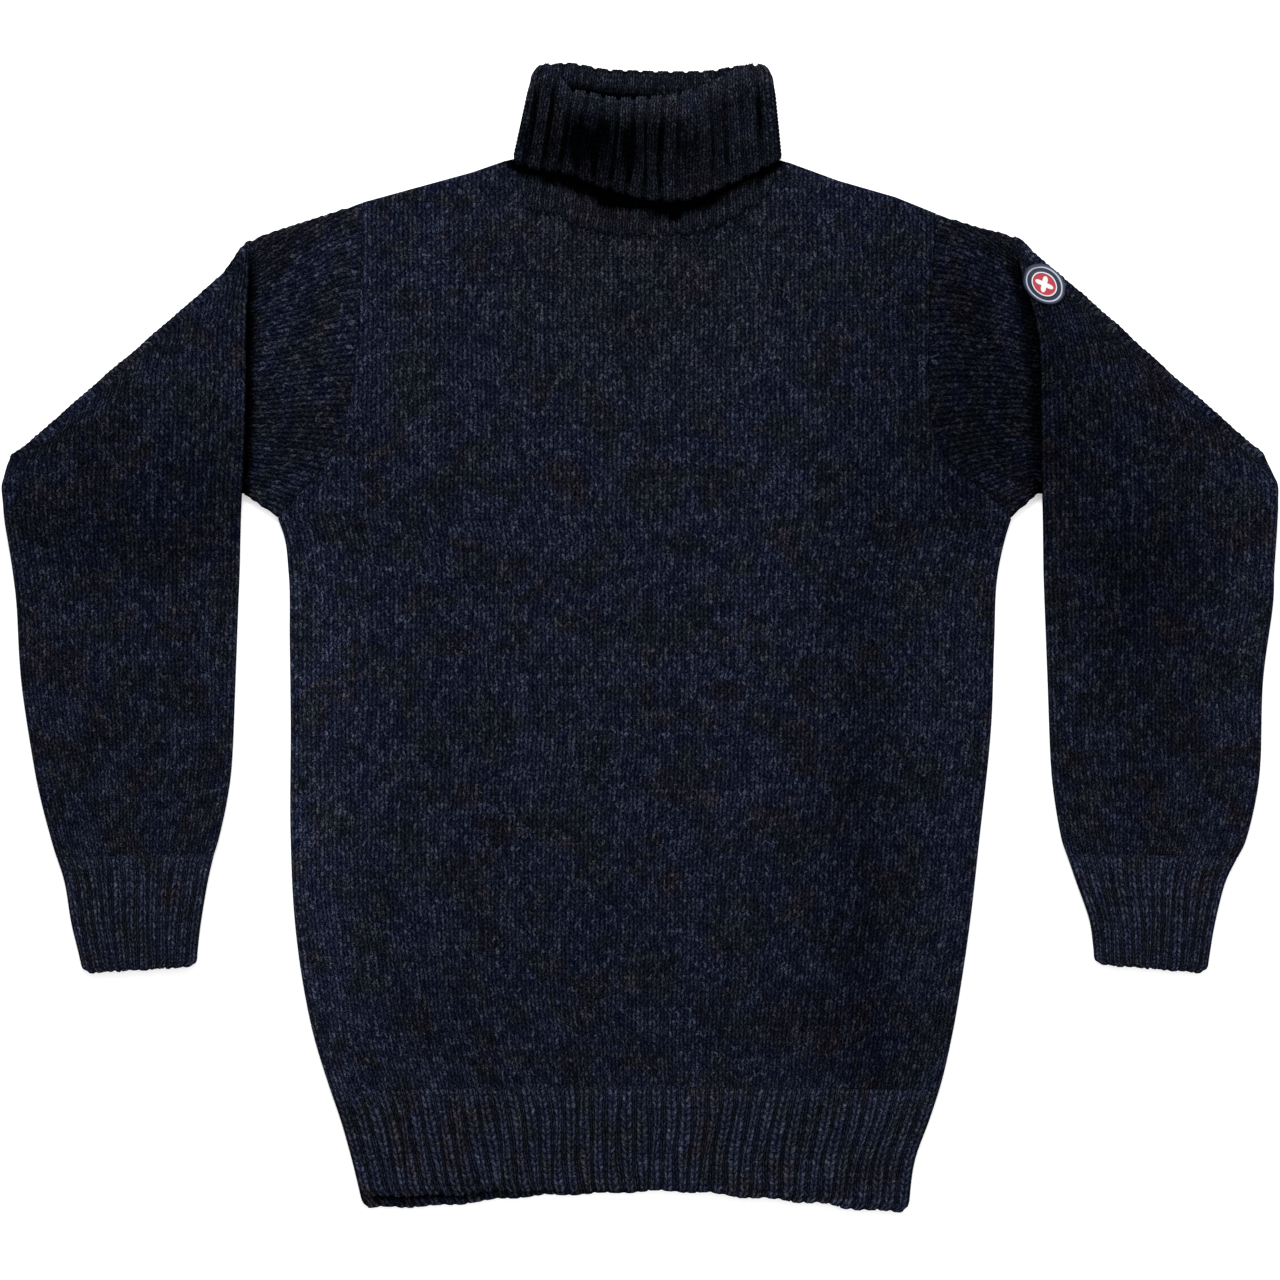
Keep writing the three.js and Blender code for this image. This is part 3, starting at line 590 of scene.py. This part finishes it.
leftCut = {
    "side": "left",
    "outward": 1,
    "elbow": [(245, 297.8), (286.6, 105)],
    "fold": {
        "share": [0, 0.06, 0.94, 1],
        "x": [270.8, 283, 442, 454.6],
        "y": [294, 280, 139.6, 131.4],
    },
    "shadeWide": 12,
    "shadeDepth": 0.88,
    "hanging": [
        [(275, 260), (457.8, 113)], [(286.4, 216), (458.4, 99)], [(288, 162), (458.2, 86)],
        [(288.8, 104), (458, 72)], [(290.4, 62), (457.4, 48)], [(291.7, 26), (456.4, 24)],
        [(293.8, -28), (449.4, -29)], [(296, -86), (447.6, -87)], [(298.9, -115), (444, -116)],
        [(303.6, -142), (437.2, -144)], [(307.4, -154), (431.2, -156.6)],
    ],
    "cuff": [
        [(307.5, -154), (431, -156.6)], [(314.3, -174), (422, -176)],
        [(323.6, -201), (415, -204)], [(326.6, -220), (411.4, -225)],
        [(327.6, -233.8), (409.2, -240.4)],
    ],
}


def foldFrame(cut):
    # the fold's direction, the way out over it, and its axis by share from the top end
    fold = cut["fold"]
    a, b = (np.array((fold["x"][i], fold["y"][i])) for i in (1, 2))
    direction = (b - a) / np.linalg.norm(b - a)
    normal = np.array([cut["outward"] * abs(direction[1]), abs(direction[0])])

    def axisAt(t):
        x = np.interp(t, fold["share"], fold["x"]) - sleeve["axis"] * normal[0]
        y = np.interp(t, fold["share"], fold["y"]) - sleeve["axis"] * normal[1]
        return x, y

    return direction, normal, axisAt


def edgesAt(rows, at):
    # x and y of the inner edge, then of the outer edge, along a table of rows
    index = np.arange(len(rows))
    return [softCurve(index, [row[side][axis] for row in rows], at) for side in (0, 1) for axis in (0, 1)]


def sleevePlan(cut, k, t):
    # k: 0 armhole, 1 elbow line, 2 fold, 3 fold turned over, then one step for each row of the table
    shoulderEnd = body["shoulderY"][0 if cut["side"] == "right" else -1]
    yArm = np.linspace(shoulderEnd, body["underarm"], 240)
    xArm = bodySide(cut["side"], yArm)
    steps = np.concatenate([[0], np.cumsum(np.hypot(np.diff(xArm), np.diff(yArm)))])
    ax = np.interp(t * steps[-1], steps, xArm) + cut["outward"] * 0.2
    ay = np.interp(t * steps[-1], steps, yArm)
    (ex0, ey0), (ex1, ey1) = cut["elbow"]
    ex, ey = mix(ex0, ex1, t), mix(ey0, ey1, t)
    direction, normal, axisAt = foldFrame(cut)
    fx, fy = axisAt(t)
    (x0, y0), (x1, y1) = axisAt(0), axisAt(1)
    chain = [[(x0, y0), (x1, y1)]] + cut["hanging"]
    at = np.clip(k - 3, 0, len(chain) - 1)
    ends = edgesAt(chain, at)
    bent = 1 - softStep(k - 3)
    hx = mix(ends[0], ends[2], t) + bent * (fx - mix(x0, x1, t))
    hy = mix(ends[1], ends[3], t) + bent * (fy - mix(y0, y1, t))
    x = np.where(k < 1, mix(ax, ex, k), np.where(k < 2, mix(ex, fx, k - 1), np.where(k < 3, fx, hx)))
    y = np.where(k < 1, mix(ay, ey, k), np.where(k < 2, mix(ey, fy, k - 1), np.where(k < 3, fy, hy)))
    # at the fold's two ends the pressed edges pinch together
    near = np.minimum(t, 1 - t) * sleeve["foldLong"]
    pinch = softStep(1 - near / 9) * np.clip((k - 1) / 0.7, 0, 1) * softStep((3.8 - k) / 0.8)
    return x, y, math.pi * np.clip(k - 2, 0, 1), normal, pinch


def sleeveSurface(cut, k, t, w):
    # w: depth within the flat tube, from its lower face up
    x, y, angle, normal, pinch = sleevePlan(cut, k, t)
    axis, thick = sleeve["axis"], sleeve["thick"]
    local = mix(axis, thick / 2 + 0.6, pinch)
    out = (local - w) * np.sin(angle) + axis - local
    z = local - (local - w) * np.cos(angle)
    high = 2 * axis - thick
    # the hanging part slopes from on top of the upper part down to the table
    z = z - np.where(k >= 3, high * (1 - softStep((y - 42) / 58)), 0)
    return x + normal[0] * out, y + normal[1] * out, z


def sleevePlace(cut):
    last = 3 + len(cut["hanging"])
    ks = np.concatenate([np.linspace(0, 2, 41), np.linspace(2, 3, 17)[1:], np.linspace(3, last, 111)[1:]])
    ts = np.linspace(0, 1, 61)
    kGrid, tGrid = np.meshgrid(ks, ts, indexing="ij")
    x, y, z = sleeveSurface(cut, kGrid, tGrid, sleeve["thick"] / 2)
    steps = np.sqrt(np.diff(x, axis=0) ** 2 + np.diff(y, axis=0) ** 2 + np.diff(z, axis=0) ** 2)
    gone = np.concatenate([np.zeros((1, len(ts))), np.cumsum(steps, axis=0)])
    wide = np.hypot(x[:, -1] - x[:, 0], y[:, -1] - y[:, 0])

    def place(u, v):
        # beside the armhole the columns lean up towards the shoulder
        turned = (u + sleeve["lean"] * (1 - softStep(v * gone[-1].mean() / 90))) % 1
        t = np.where(turned < 0.5, 2 * turned, 2 - 2 * turned)
        low = turned < 0.5
        total = np.interp(t, ts, gone[-1])
        # the row each column has reached, read between the two nearest sampled columns
        k = np.empty_like(v)
        column = np.clip((t * (len(ts) - 1)).astype(int), 0, len(ts) - 2)
        for c in range(len(ts) - 1):
            here = column == c
            if here.any():
                share = t[here] * (len(ts) - 1) - c
                first = np.interp(v[here] * gone[-1, c], gone[:, c], ks)
                second = np.interp(v[here] * gone[-1, c + 1], gone[:, c + 1], ks)
                k[here] = mix(first, second, share)
        width = np.interp(k, ks, wide)
        near = np.minimum(t, 1 - t) * width
        wale = u * sleeve["wales"]
        course = v * total.mean() / knit["courseHeight"]
        done = v * total
        left = (1 - v) * total
        relief = (unevenStitch(wale, course) - 0.4) * knit["relief"]
        ridge = 0.5 * np.exp(-(((done - 4) / 2.4) ** 2)) - 0.4 * np.exp(-((done / 1.2) ** 2))
        relief = relief * (1 - 0.5 * softStep((k - 1.9) / 0.3) * softStep((3.1 - k) / 0.3))
        edge = roundOff(near, sleeve["edge"])
        half = sleeve["thick"] / 2
        raised = (half + (relief + ridge * (done < 20)) * softStep(near / 3)) * edge
        raised = raised * mix(1, 0.92, softStep((10 - left) / 10))
        w = half + np.where(low, -raised, raised)
        x, y, z = sleeveSurface(cut, k, t, w)
        top = np.where(low, k > 2.6, k < 2.4)
        z = z + np.where(top, creaseHeight(x, y), 0) * softStep(near / 16) * softStep(done / 20)
        z = np.maximum(z, 0.05)
        # the strip beside the hanging part lies in its shade
        rows = [row[0] for row in cut["hanging"][:5]]
        edgeY, edgeX = [-290] + [-row[1] for row in rows], [cut["fold"]["x"][0]] + [row[0] for row in rows]
        away = cut["outward"] * (np.interp(-y, edgeY, edgeX) - x)
        shade = (1 - softStep(away / cut["shadeWide"] - 0.25)) * softStep((286 - y) / 22)
        shade = shade * ((k < 2.2) & ~low)
        # painted shade along the armhole seam, plus the broad painted shades
        paintedShading = 0.12 * np.exp(-((done / 1.5) ** 2)) + shadeAt(x, y)
        paintedShading = mix(paintedShading, cut["shadeDepth"], shade)
        dx, dy = wander(x, y)
        inner = softStep(near / 16) * softStep(done / 14) * softStep(left / 14)
        return x + dx * inner, y + dy * inner, z, wale, course, paintedShading

    return place


cuff = {
    "ribs": 24,
    "columnsPerRib": 8,
    "rows": 38,
    "hollow": 0.28,
    "ribHeight": 1.4,
    "thick": 6.6,
    "corner": 3.4,
    "long": 84,
}


def cuffPlace(cut):
    def place(u, v):
        # v: 0 to 1 down the outside, 1 to 2 round the edge, above 2 a little way back up inside
        t = np.where(u < 0.5, 2 * u, 2 - 2 * u)
        s = np.where(v <= 1, v, np.where(v <= 2, 1, 1 - 0.3 * (v - 2)))
        angle = np.clip(v - 1, 0, 1) * math.pi
        ends = edgesAt(cut["cuff"], s * (len(cut["cuff"]) - 1))
        width = np.hypot(ends[2] - ends[0], ends[3] - ends[1])
        rounding = cuff["corner"] * (1 - roundOff((1 - s) * cuff["long"], 2 * cuff["corner"])) / width
        across = mix(rounding, 1 - rounding, t)
        x, y = mix(ends[0], ends[2], across), mix(ends[1], ends[3], across)
        near = np.minimum(t, 1 - t) * width
        share = u * cuff["ribs"]
        shape = ribShape(share, cuff["hollow"])
        wale = ribWale(u, cuff["ribs"], 2, cuff["hollow"])
        course = s * cuff["long"] / knit["courseHeight"] + np.where(v > 1, v, 0)
        gather = softStep(s * 5)
        loops = (0.9 * unevenStitch(wale, course) - 0.4) * mix(1, shape, gather)
        lift = cuff["ribHeight"] * (shape - 0.7) * gather + loops
        half = cuff["thick"] / 2
        raised = (half + lift * softStep(near / 2)) * roundOff(near, 7)
        wall = 2.4 * (1 - np.cos(angle)) / 2
        raised = np.maximum(raised - wall, 0.15)
        z = half + np.where(u < 0.5, raised, -raised)
        z = np.maximum(z, 0.05)
        y = y + 1.3 * s - 1.3 * np.sin(angle) * (0.4 + 0.6 * shape) + 0.5 * np.sin(share * 2.1) * s
        x = mix(x, (ends[0] + ends[2]) / 2, 0.02 * (1 - np.cos(angle)))
        bend = softStep(s * 3) * softStep(near / 16)
        x = x + bend * (0.9 * np.sin(u * 31 + 2 * s) + 0.6 * np.sin(u * 83 + 3 * s))
        # the last value is painted shade in the sunk wales of the rib
        return x, y, z, wale, course, (1 - shape) * 0.42 * gather

    return place


for node, cut in (("left", leftCut), ("right", rightCut)):
    columns = np.linspace(0, 1, 4 * sleeve["wales"] + 1)
    rows = np.linspace(0, 1, sleeve["rows"])
    piece = gridPiece(node + "Sleeve", columns, rows, sleevePlace(cut), sleeveWool)
    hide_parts(node + "_sleeve")
    columns = np.linspace(0, 1, cuff["ribs"] * cuff["columnsPerRib"] + 1)
    rows = list(np.linspace(0, 1, cuff["rows"])) + [1.25, 1.5, 1.75, 2, 2.2, 2.4]
    piece = gridPiece(node + "Cuff", columns, rows, cuffPlace(cut), ribWool)
    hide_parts(node + "_cuff")
print("sleeves and cuffs made")


# collar: knitted up from the neck, turned over and down again
collar = {
    "ribs": 32,
    "columnsPerRib": 10,
    "hollow": 0.26,
    "ribHeight": 1.6,
    "open": 1.8,
    "wall": 3.0,
    "gap": 0.3,
    "middle": 8.1,
    "bend": 6,
    "lap": 2.0,
    "lowCentre": 5.4,
    "lowHalf": 95.6,
    "topCentre": 8.8,
    "topHalf": 87,
    "foldFrontX": [-79, -71, -63, -57, -52, -36, -22, 0, 25, 43, 57, 70, 77, 84, 91, 97],
    "foldFrontY": [406, 412.6, 411, 403, 397, 392.4, 389, 388.6, 391, 396, 402.5, 409.5, 412, 413, 411, 404],
    "foldBackX": [-79, -67, -20, 50, 80, 96],
    "foldBackY": [406, 413, 410.8, 410.2, 413, 406],
    "lowX": [-97, -90, -80.6, -51.1, -26.6, 7.2, 34.2, 56.9, 90.4, 97, 104],
    "lowY": [346.4, 344.4, 340.6, 334.8, 325.8, 316.8, 316.8, 324.7, 340.6, 344.4, 346.4],
    "lowBackY": 350,
    "shadeX": [
        -97, -86, -68.4, -64.8, -52, -49, -31.5, -29, -7.2, 0,
        18.5, 20.5, 28.6, 30.5, 53, 55, 66, 77, 92, 104,
    ],
    "shadeWide": [6, 8, 9, 10, 11, 13, 13, 17, 13, 10.5, 10.5, 14.5, 14.5, 11, 13, 10, 8, 7, 8.5, 5],
    "hollows": [
        (-43, 360, 10, 16, 0.6), (-9, 354, 5, 20, 0.6), (-63, 366, 4, 22, 0.3), (12, 370, 4, 18, 0.3),
        (33, 352, 4, 22, 0.3), (-26, 370, 5, 15, 0.42), (58, 366, 4, 20, 0.3), (-76, 380, 3, 20, 0.4),
        (86.5, 376, 2.4, 26, 0.6), (-84, 360, 2.4, 16, 0.4), (-66, 397, 5, 4, 0.4), (-32, 350, 32, 28, 0.54),
        (24, 352, 26, 22, 0.32), (-72, 350, 16, 18, 0.15),
    ],
}


def underCollar(x, y):
    # the deep shade under the turned-down edge, widest near the middle
    below = softCurve(collar["lowX"], collar["lowY"], x) - y
    wide = np.interp(x, collar["shadeX"], collar["shadeWide"])
    across = softStep((x + 103) / 10) * softStep((110 - x) / 10)
    return (1 - softStep((below - wide + 1.2) / 2.6)) * across


def collarFoldsAndShade(x, y):
    # soft hollows between the ribs of the turned-down part, sunk into the cloth and darkened with painted
    # shade: x, y, half sizes, depth
    total = np.zeros_like(x)
    for cx, cy, wide, high, deep in collar["hollows"]:
        total += deep * np.exp(-(((x - cx) / wide) ** 2) - ((y - cy) / high) ** 2)
    return total


def collarProfile():
    # stations round the hairpin, each with: up, depth from the neck's middle, rise,
    # inner layer share, the outward normal's two parts, and how much relief it gets
    c = collar
    inner, outer = c["open"], c["open"] + 2 * c["wall"] + c["gap"]
    centre, radius, rim = (inner + outer) / 2, (outer - inner) / 2, c["wall"] / 2
    rows = []
    for up in np.linspace(1, 0, 22):
        rows.append((up, inner + c["wall"], -1.0 if up == 1 else 0, 1, 1, 0, 0.5))
    for a in np.radians((45, 90, 135)):
        rows.append((0, inner + rim * (1 + np.cos(a)), -rim * np.sin(a), 1, np.cos(a), -np.sin(a), 1))
    for up in np.linspace(0, 1, 34):
        rows.append((up, inner, 0, 1, -1, 0, 1))
    for a in np.radians(range(18, 180, 18)):
        rows.append((1, centre - radius * np.cos(a), radius * np.sin(a), 0.5, -np.cos(a), np.sin(a), 1))
    for up in np.linspace(1, 0, 38):
        rows.append((up, outer, 0, 0, 1, 0, 1))
    for a in np.radians((36, 72, 108, 144)):
        rows.append((0, outer - rim * (1 - np.cos(a)), -rim * np.sin(a), 0, np.cos(a), -np.sin(a), 1))
    for up in np.linspace(0, 1, 12):
        rows.append((up, outer - c["wall"], -1.0 if up == 1 else 0, 0, -1, 0, 0.5))
    rows.append(rows[0])
    return np.array(rows)


def collarPlace(profile):
    c = collar
    radius = (2 * c["wall"] + c["gap"]) / 2
    straight, end = 2 * (c["lowHalf"] - c["middle"]), math.pi * c["bend"]
    stops = np.cumsum([0, straight, end, straight, end]) / (2 * (straight + end))

    def place(u, v):
        j = np.rint(v).astype(int)
        up, depth, rise, innerShare, nd, nr, detail = profile[j].T
        run = np.interp(u, stops, [-1, 1, 1, -1, -1])
        angle = np.radians(np.interp(u, stops, [90, 90, -90, -90, -270]))
        side = np.sin(angle)
        front = softStep((side + 0.3) / 0.5)
        centre = mix(c["lowCentre"], c["topCentre"], up)
        half = mix(c["lowHalf"], c["topHalf"], up) - c["middle"]
        share = u * c["ribs"]
        shape = ribShape(share, c["hollow"])
        wale = ribWale(u, c["ribs"], 3, c["hollow"])
        course = v * 0.5
        loops = (stitchHeight(wale, course) - 0.4) * (0.3 + 0.7 * shape)
        lift = (c["ribHeight"] * (shape - 0.6) + loops) * detail
        isOuter = innerShare < 0.75
        puff = np.where(isOuter, 2.4 * softStep(up * 3) * (0.4 + 0.6 * front), 0)
        lift = lift * np.where((side < -0.5) & isOuter, 0.3, 1.0) - 0.6 * (1 - shape) * detail
        lift = lift * (1 - 0.7 * softStep((np.abs(run) - 0.92) / 0.08) * softStep((up - 0.8) / 0.2))
        d = depth + nd * lift + np.maximum(nd, 0) * puff * 0.8 * np.abs(side)
        rise = rise + nr * (lift + 0.6)
        bend = np.where(np.abs(np.cos(angle)) > 1e-6, np.sign(run) * np.abs(np.cos(angle)), 0)
        x = centre + half * run + bend * d
        foldBack = softCurve(c["foldBackX"], c["foldBackY"], x)
        foldY = mix(foldBack, softCurve(c["foldFrontX"], c["foldFrontY"], x), front) - radius
        neck = softCurve(body["neckX"], body["frontNeckY"], np.clip(x, -90, 99))
        neckBack = softCurve(body["neckX"], body["backNeckY"], np.clip(x, -90, 99))
        lowOuter = mix(c["lowBackY"] + 1.5, softCurve(c["lowX"], c["lowY"], x) + 1.5, front)
        lowInner = mix(neckBack, neck, front) - c["lap"] + softStep((0.25 - np.abs(side)) / 0.25) * 3.6
        low = np.where(isOuter, lowOuter, lowInner)
        y = mix(low, foldY, up) + rise
        dip = np.where(isOuter, 0, 4.3 * softStep(1 - up / 0.3) * np.maximum(0, side))
        z = c["middle"] + d * side - dip
        # the turned-down part sags a little unevenly, and never sinks into the table
        z = z + front * np.where(isOuter, 0.9 * np.sin(x / 19 + 0.6) * np.sin(up * 2.6), 0)
        z = np.maximum(z, 0.05)
        # the hollows both sink the turned-down part and darken it with painted shade
        foldsAndShade = collarFoldsAndShade(x, y) * front * isOuter
        z = z - 2.2 * foldsAndShade
        # painted shading of the ribs, folds and the hem of the turned-down part: painted shade over all of
        # it, deeper in the rib valleys and the folds, and a painted highlight along its rolled top edge
        rim = softStep((up - 0.7) / 0.3) * front
        valleyShade = mix(0.5, 0.28, softStep((x + 10) / 40)) + 0.14 * np.sin(u * 57)
        valleyShade = (valleyShade + 0.14 * np.sin(y / 7 + u * 23)) * mix(0.35, 1, softStep(up / 0.2))
        # on the inner layer: painted shade in the rib hollows, and painted light high up on the inside of
        # the back
        inside = 0.15 * (1 - shape) - 0.45 * (y > 366)
        paintedShading = np.where(isOuter, 0.28 + (1 - shape) * valleyShade, inside)
        paintedShading = np.clip(paintedShading + 0.9 * foldsAndShade, 0, 0.97) - 0.75 * rim * isOuter
        paintedShading = np.maximum(paintedShading, np.where(isOuter, -1, underCollar(x, y) * (y < 350)))
        # painted shade: the inside is darkest low down at the wearer's right
        behind = softCurve(c["foldBackX"], c["foldBackY"], x) - y
        deep = softStep((behind - 9) / 10) * mix(1, 0.72, softStep((x + 15) / 40)) * (y > 360)
        paintedShading = np.maximum(paintedShading, np.where(innerShare == 1, deep, -1))
        lean = 1.6 * np.sin(u * 41 + up * 1.5) + 0.9 * np.sin(u * 97 + up * 2)
        lean = lean * softStep(up * 3) * softStep((1 - up) * 3) * softStep((0.93 - np.abs(run)) / 0.2)
        x = x + lean * front * isOuter
        return x, y, z, wale, course, paintedShading

    return place


profile = collarProfile()
columns = np.linspace(0, 1, collar["ribs"] * collar["columnsPerRib"] + 1)
stations = np.arange(len(profile))
piece = gridPiece("rollCollar", columns, stations, collarPlace(profile), collarWool)
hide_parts("collar")
print("collar made")

columns = np.linspace(0, 1, 4 * body["wales"] - 3)
front = gridPiece("sweaterFront", columns, np.linspace(0, 1, 306), bodyFront, bodyWool)
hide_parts("front")
columns = np.linspace(0, 1, 2 * body["wales"] + 1)
back = gridPiece("sweaterBack", columns, np.linspace(0, 1, 153), bodyBack, bodyWool)
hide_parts("back")
print("body made")


# badge: a moulded oval on the fold of the wearer's left sleeve, with a plain ring design
badge = {
    "along": 16.8,
    "across": 12.6,
    "q": -6.4,
    "centre": (290.9, 256.3),
    "lift": 0.7,
    "columns": 96,
    "rings": 44,
    "reliefAt": [0, 0.5, 0.56, 0.6, 0.66, 0.7, 0.84, 0.88, 0.97, 1],
    "relief": [1.0, 1.0, 1.35, 1.35, 0.9, 0.9, 0.9, 1.5, 1.5, 0.9],
    "colours": [
        (0, "#982d3c"), (0.55, "#c4c5ca"), (0.6, "#1b2131"), (0.8, "#99a1b1"), (0.86, "#2c3448"),
        (0.94, "#10131f"),
    ],
    "rosette": "#c9cbc8",
}


def badgePlace(u, v):
    # v runs from the middle to the rim, and past 1 it drops down the rim to the wool
    direction, normal, axisAt = foldFrame(leftCut)
    f0 = np.array(axisAt(leftCut["fold"]["share"][1]))
    centre = np.array(badge["centre"])
    start = (centre - f0) @ direction
    angle = 2 * math.pi * u
    r = np.clip(v, 0, 1)
    raised = np.where(v > 1, 0.0, np.interp(r, badge["reliefAt"], badge["relief"]))
    p = start + badge["along"] * r * np.cos(angle)
    q = badge["q"] + badge["across"] * r * np.sin(angle)
    axis = sleeve["axis"]
    off = badge["lift"] + raised
    turn = np.maximum(q, 0) / axis
    x = f0[0] + direction[0] * p + normal[0] * np.where(q > 0, (axis + off) * np.sin(turn), q)
    y = f0[1] + direction[1] * p + normal[1] * np.where(q > 0, (axis + off) * np.sin(turn), q)
    z = axis + (axis + off) * np.cos(turn)
    top = axisAt(0)
    innerY = [row[0][1] for row in leftCut["hanging"]][::-1] + [top[1]]
    innerX = [row[0][0] for row in leftCut["hanging"]][::-1] + [top[0]]
    near = np.maximum(x - np.interp(y, innerY, innerX), 0)
    z = z - np.where(q < 3, (1 - roundOff(near, 8)) * 3.0, 0)
    return x, y, z, u, r, np.zeros_like(x)


def mouldedRubber():
    # soft moulded rubber, poured in several colours: smooth, with a dull shine
    material = bpy.data.materials.new("mouldedRubberBadge")
    material.use_nodes = True
    tree = material.node_tree
    tree.nodes.clear()
    place = addNode(tree, "ShaderNodeUVMap", {"uv_map": "knit"})
    split = addNode(tree, "ShaderNodeSeparateXYZ", None, {0: place.outputs[0]})
    # a four-rayed rosette in the middle, with rings round it
    value, rays = split.outputs[0], 4
    for operation, inputs in (
        ("MULTIPLY", {1: 2 * math.pi * rays}), ("SINE", {}), ("MULTIPLY_ADD", {1: 0.13, 2: 0.3}),
        ("GREATER_THAN", {1: split.outputs[1]}),
    ):
        value = addNode(tree, "ShaderNodeMath", {"operation": operation}, {0: value, **inputs}).outputs[0]
    rings = addNode(tree, "ShaderNodeValToRGB", None, {0: split.outputs[1]})
    rings.color_ramp.interpolation = "CONSTANT"
    elements = rings.color_ramp.elements
    while len(elements) < len(badge["colours"]):
        elements.new(0.5)
    for element, (position, colour) in zip(elements, badge["colours"]):
        element.position = position
        element.color = toLinear(colour)
    mixed = addNode(tree, "ShaderNodeMix", {"data_type": "RGBA"}, {0: value})
    tree.links.new(rings.outputs[0], mixed.inputs[6])
    mixed.inputs[7].default_value = toLinear(badge["rosette"])
    spot = addNode(tree, "ShaderNodeTexCoord").outputs["Object"]
    inputs = {"Vector": spot, "Scale": 1 / (0.6 * mm), "Detail": 2.0}
    grain = addNode(tree, "ShaderNodeTexNoise", None, inputs).outputs[0]
    inputs = {"Strength": 0.3, "Distance": 0.1 * mm, "Height": grain}
    bump = addNode(tree, "ShaderNodeBump", None, inputs).outputs[0]
    inputs = {"Base Color": mixed.outputs[2], "Roughness": 0.55, "Specular IOR Level": 0.3, "Normal": bump}
    shader = addNode(tree, "ShaderNodeBsdfPrincipled", None, inputs)
    addNode(tree, "ShaderNodeOutputMaterial", None, {"Surface": shader.outputs[0]})
    return material


rings = list(np.linspace(0, 1, badge["rings"])) + [1.5]
columns = np.linspace(0, 1, badge["columns"] + 1)
piece = gridPiece("sleeveBadge", columns, rings, badgePlace, mouldedRubber())
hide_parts("sleeve_badge")
print("badge made")


# stage: a white table, soft light from above and a camera straight over the sweater
stage = {
    "floorSize": 6.0,
    "floorColour": "#f4f4f4",
    "glow": 0.3,  # a light table, so that the shadow hardly shows
    "skyStrength": 0.7,
    "lens": 85.0,
    "sensor": 36.0,
    "frameWidth": 0.9216,
    "surface": 0.007,
}
bm = bmesh.new()
bmesh.ops.create_grid(bm, x_segments=1, y_segments=1, size=stage["floorSize"] / 2)
floorMesh = bpy.data.meshes.new("table")
bm.to_mesh(floorMesh)
bm.free()
table = bpy.data.objects.new("table", floorMesh)
bpy.context.scene.collection.objects.link(table)
paint = bpy.data.materials.new("mattePaintedTable")
paint.use_nodes = True
floorShader = paint.node_tree.nodes["Principled BSDF"]
floorShader.inputs["Base Color"].default_value = toLinear(stage["floorColour"])
floorShader.inputs["Roughness"].default_value = 0.9
floorShader.inputs["Emission Color"].default_value = toLinear("#ffffff")
floorShader.inputs["Emission Strength"].default_value = stage["glow"]
floorMesh.materials.append(paint)

world = bpy.data.worlds.new("studio")
bpy.context.scene.world = world
world.use_nodes = True
sky = world.node_tree.nodes["Background"]
sky.inputs[0].default_value = toLinear("#ffffff")
sky.inputs[1].default_value = stage["skyStrength"]

lamps = {
    "keyLamp": {"at": (-0.2, 2.1, 1.5), "size": 1.0, "power": 75.0},
    "fillLamp": {"at": (0.9, -0.6, 2.2), "size": 1.8, "power": 14.0},
}
for name, values in lamps.items():
    light = bpy.data.lights.new(name, "AREA")
    light.shape = "SQUARE"
    light.size = values["size"]
    light.energy = values["power"]
    lamp = bpy.data.objects.new(name, light)
    bpy.context.scene.collection.objects.link(lamp)
    lamp.location = values["at"]
    lamp.rotation_mode = "QUATERNION"
    lamp.rotation_quaternion = (-lamp.location).to_track_quat("-Z", "Y")

cameraData = bpy.data.cameras.new("camera")
cameraData.lens = stage["lens"]
cameraData.sensor_width = stage["sensor"]
cameraData.clip_end = 20.0
camera = bpy.data.objects.new("camera", cameraData)
bpy.context.scene.collection.objects.link(camera)
camera.location = (0, 0, stage["surface"] + stage["frameWidth"] * stage["lens"] / stage["sensor"])
bpy.context.scene.camera = camera
bpy.context.scene.view_settings.view_transform = "Standard"
print("stage made")
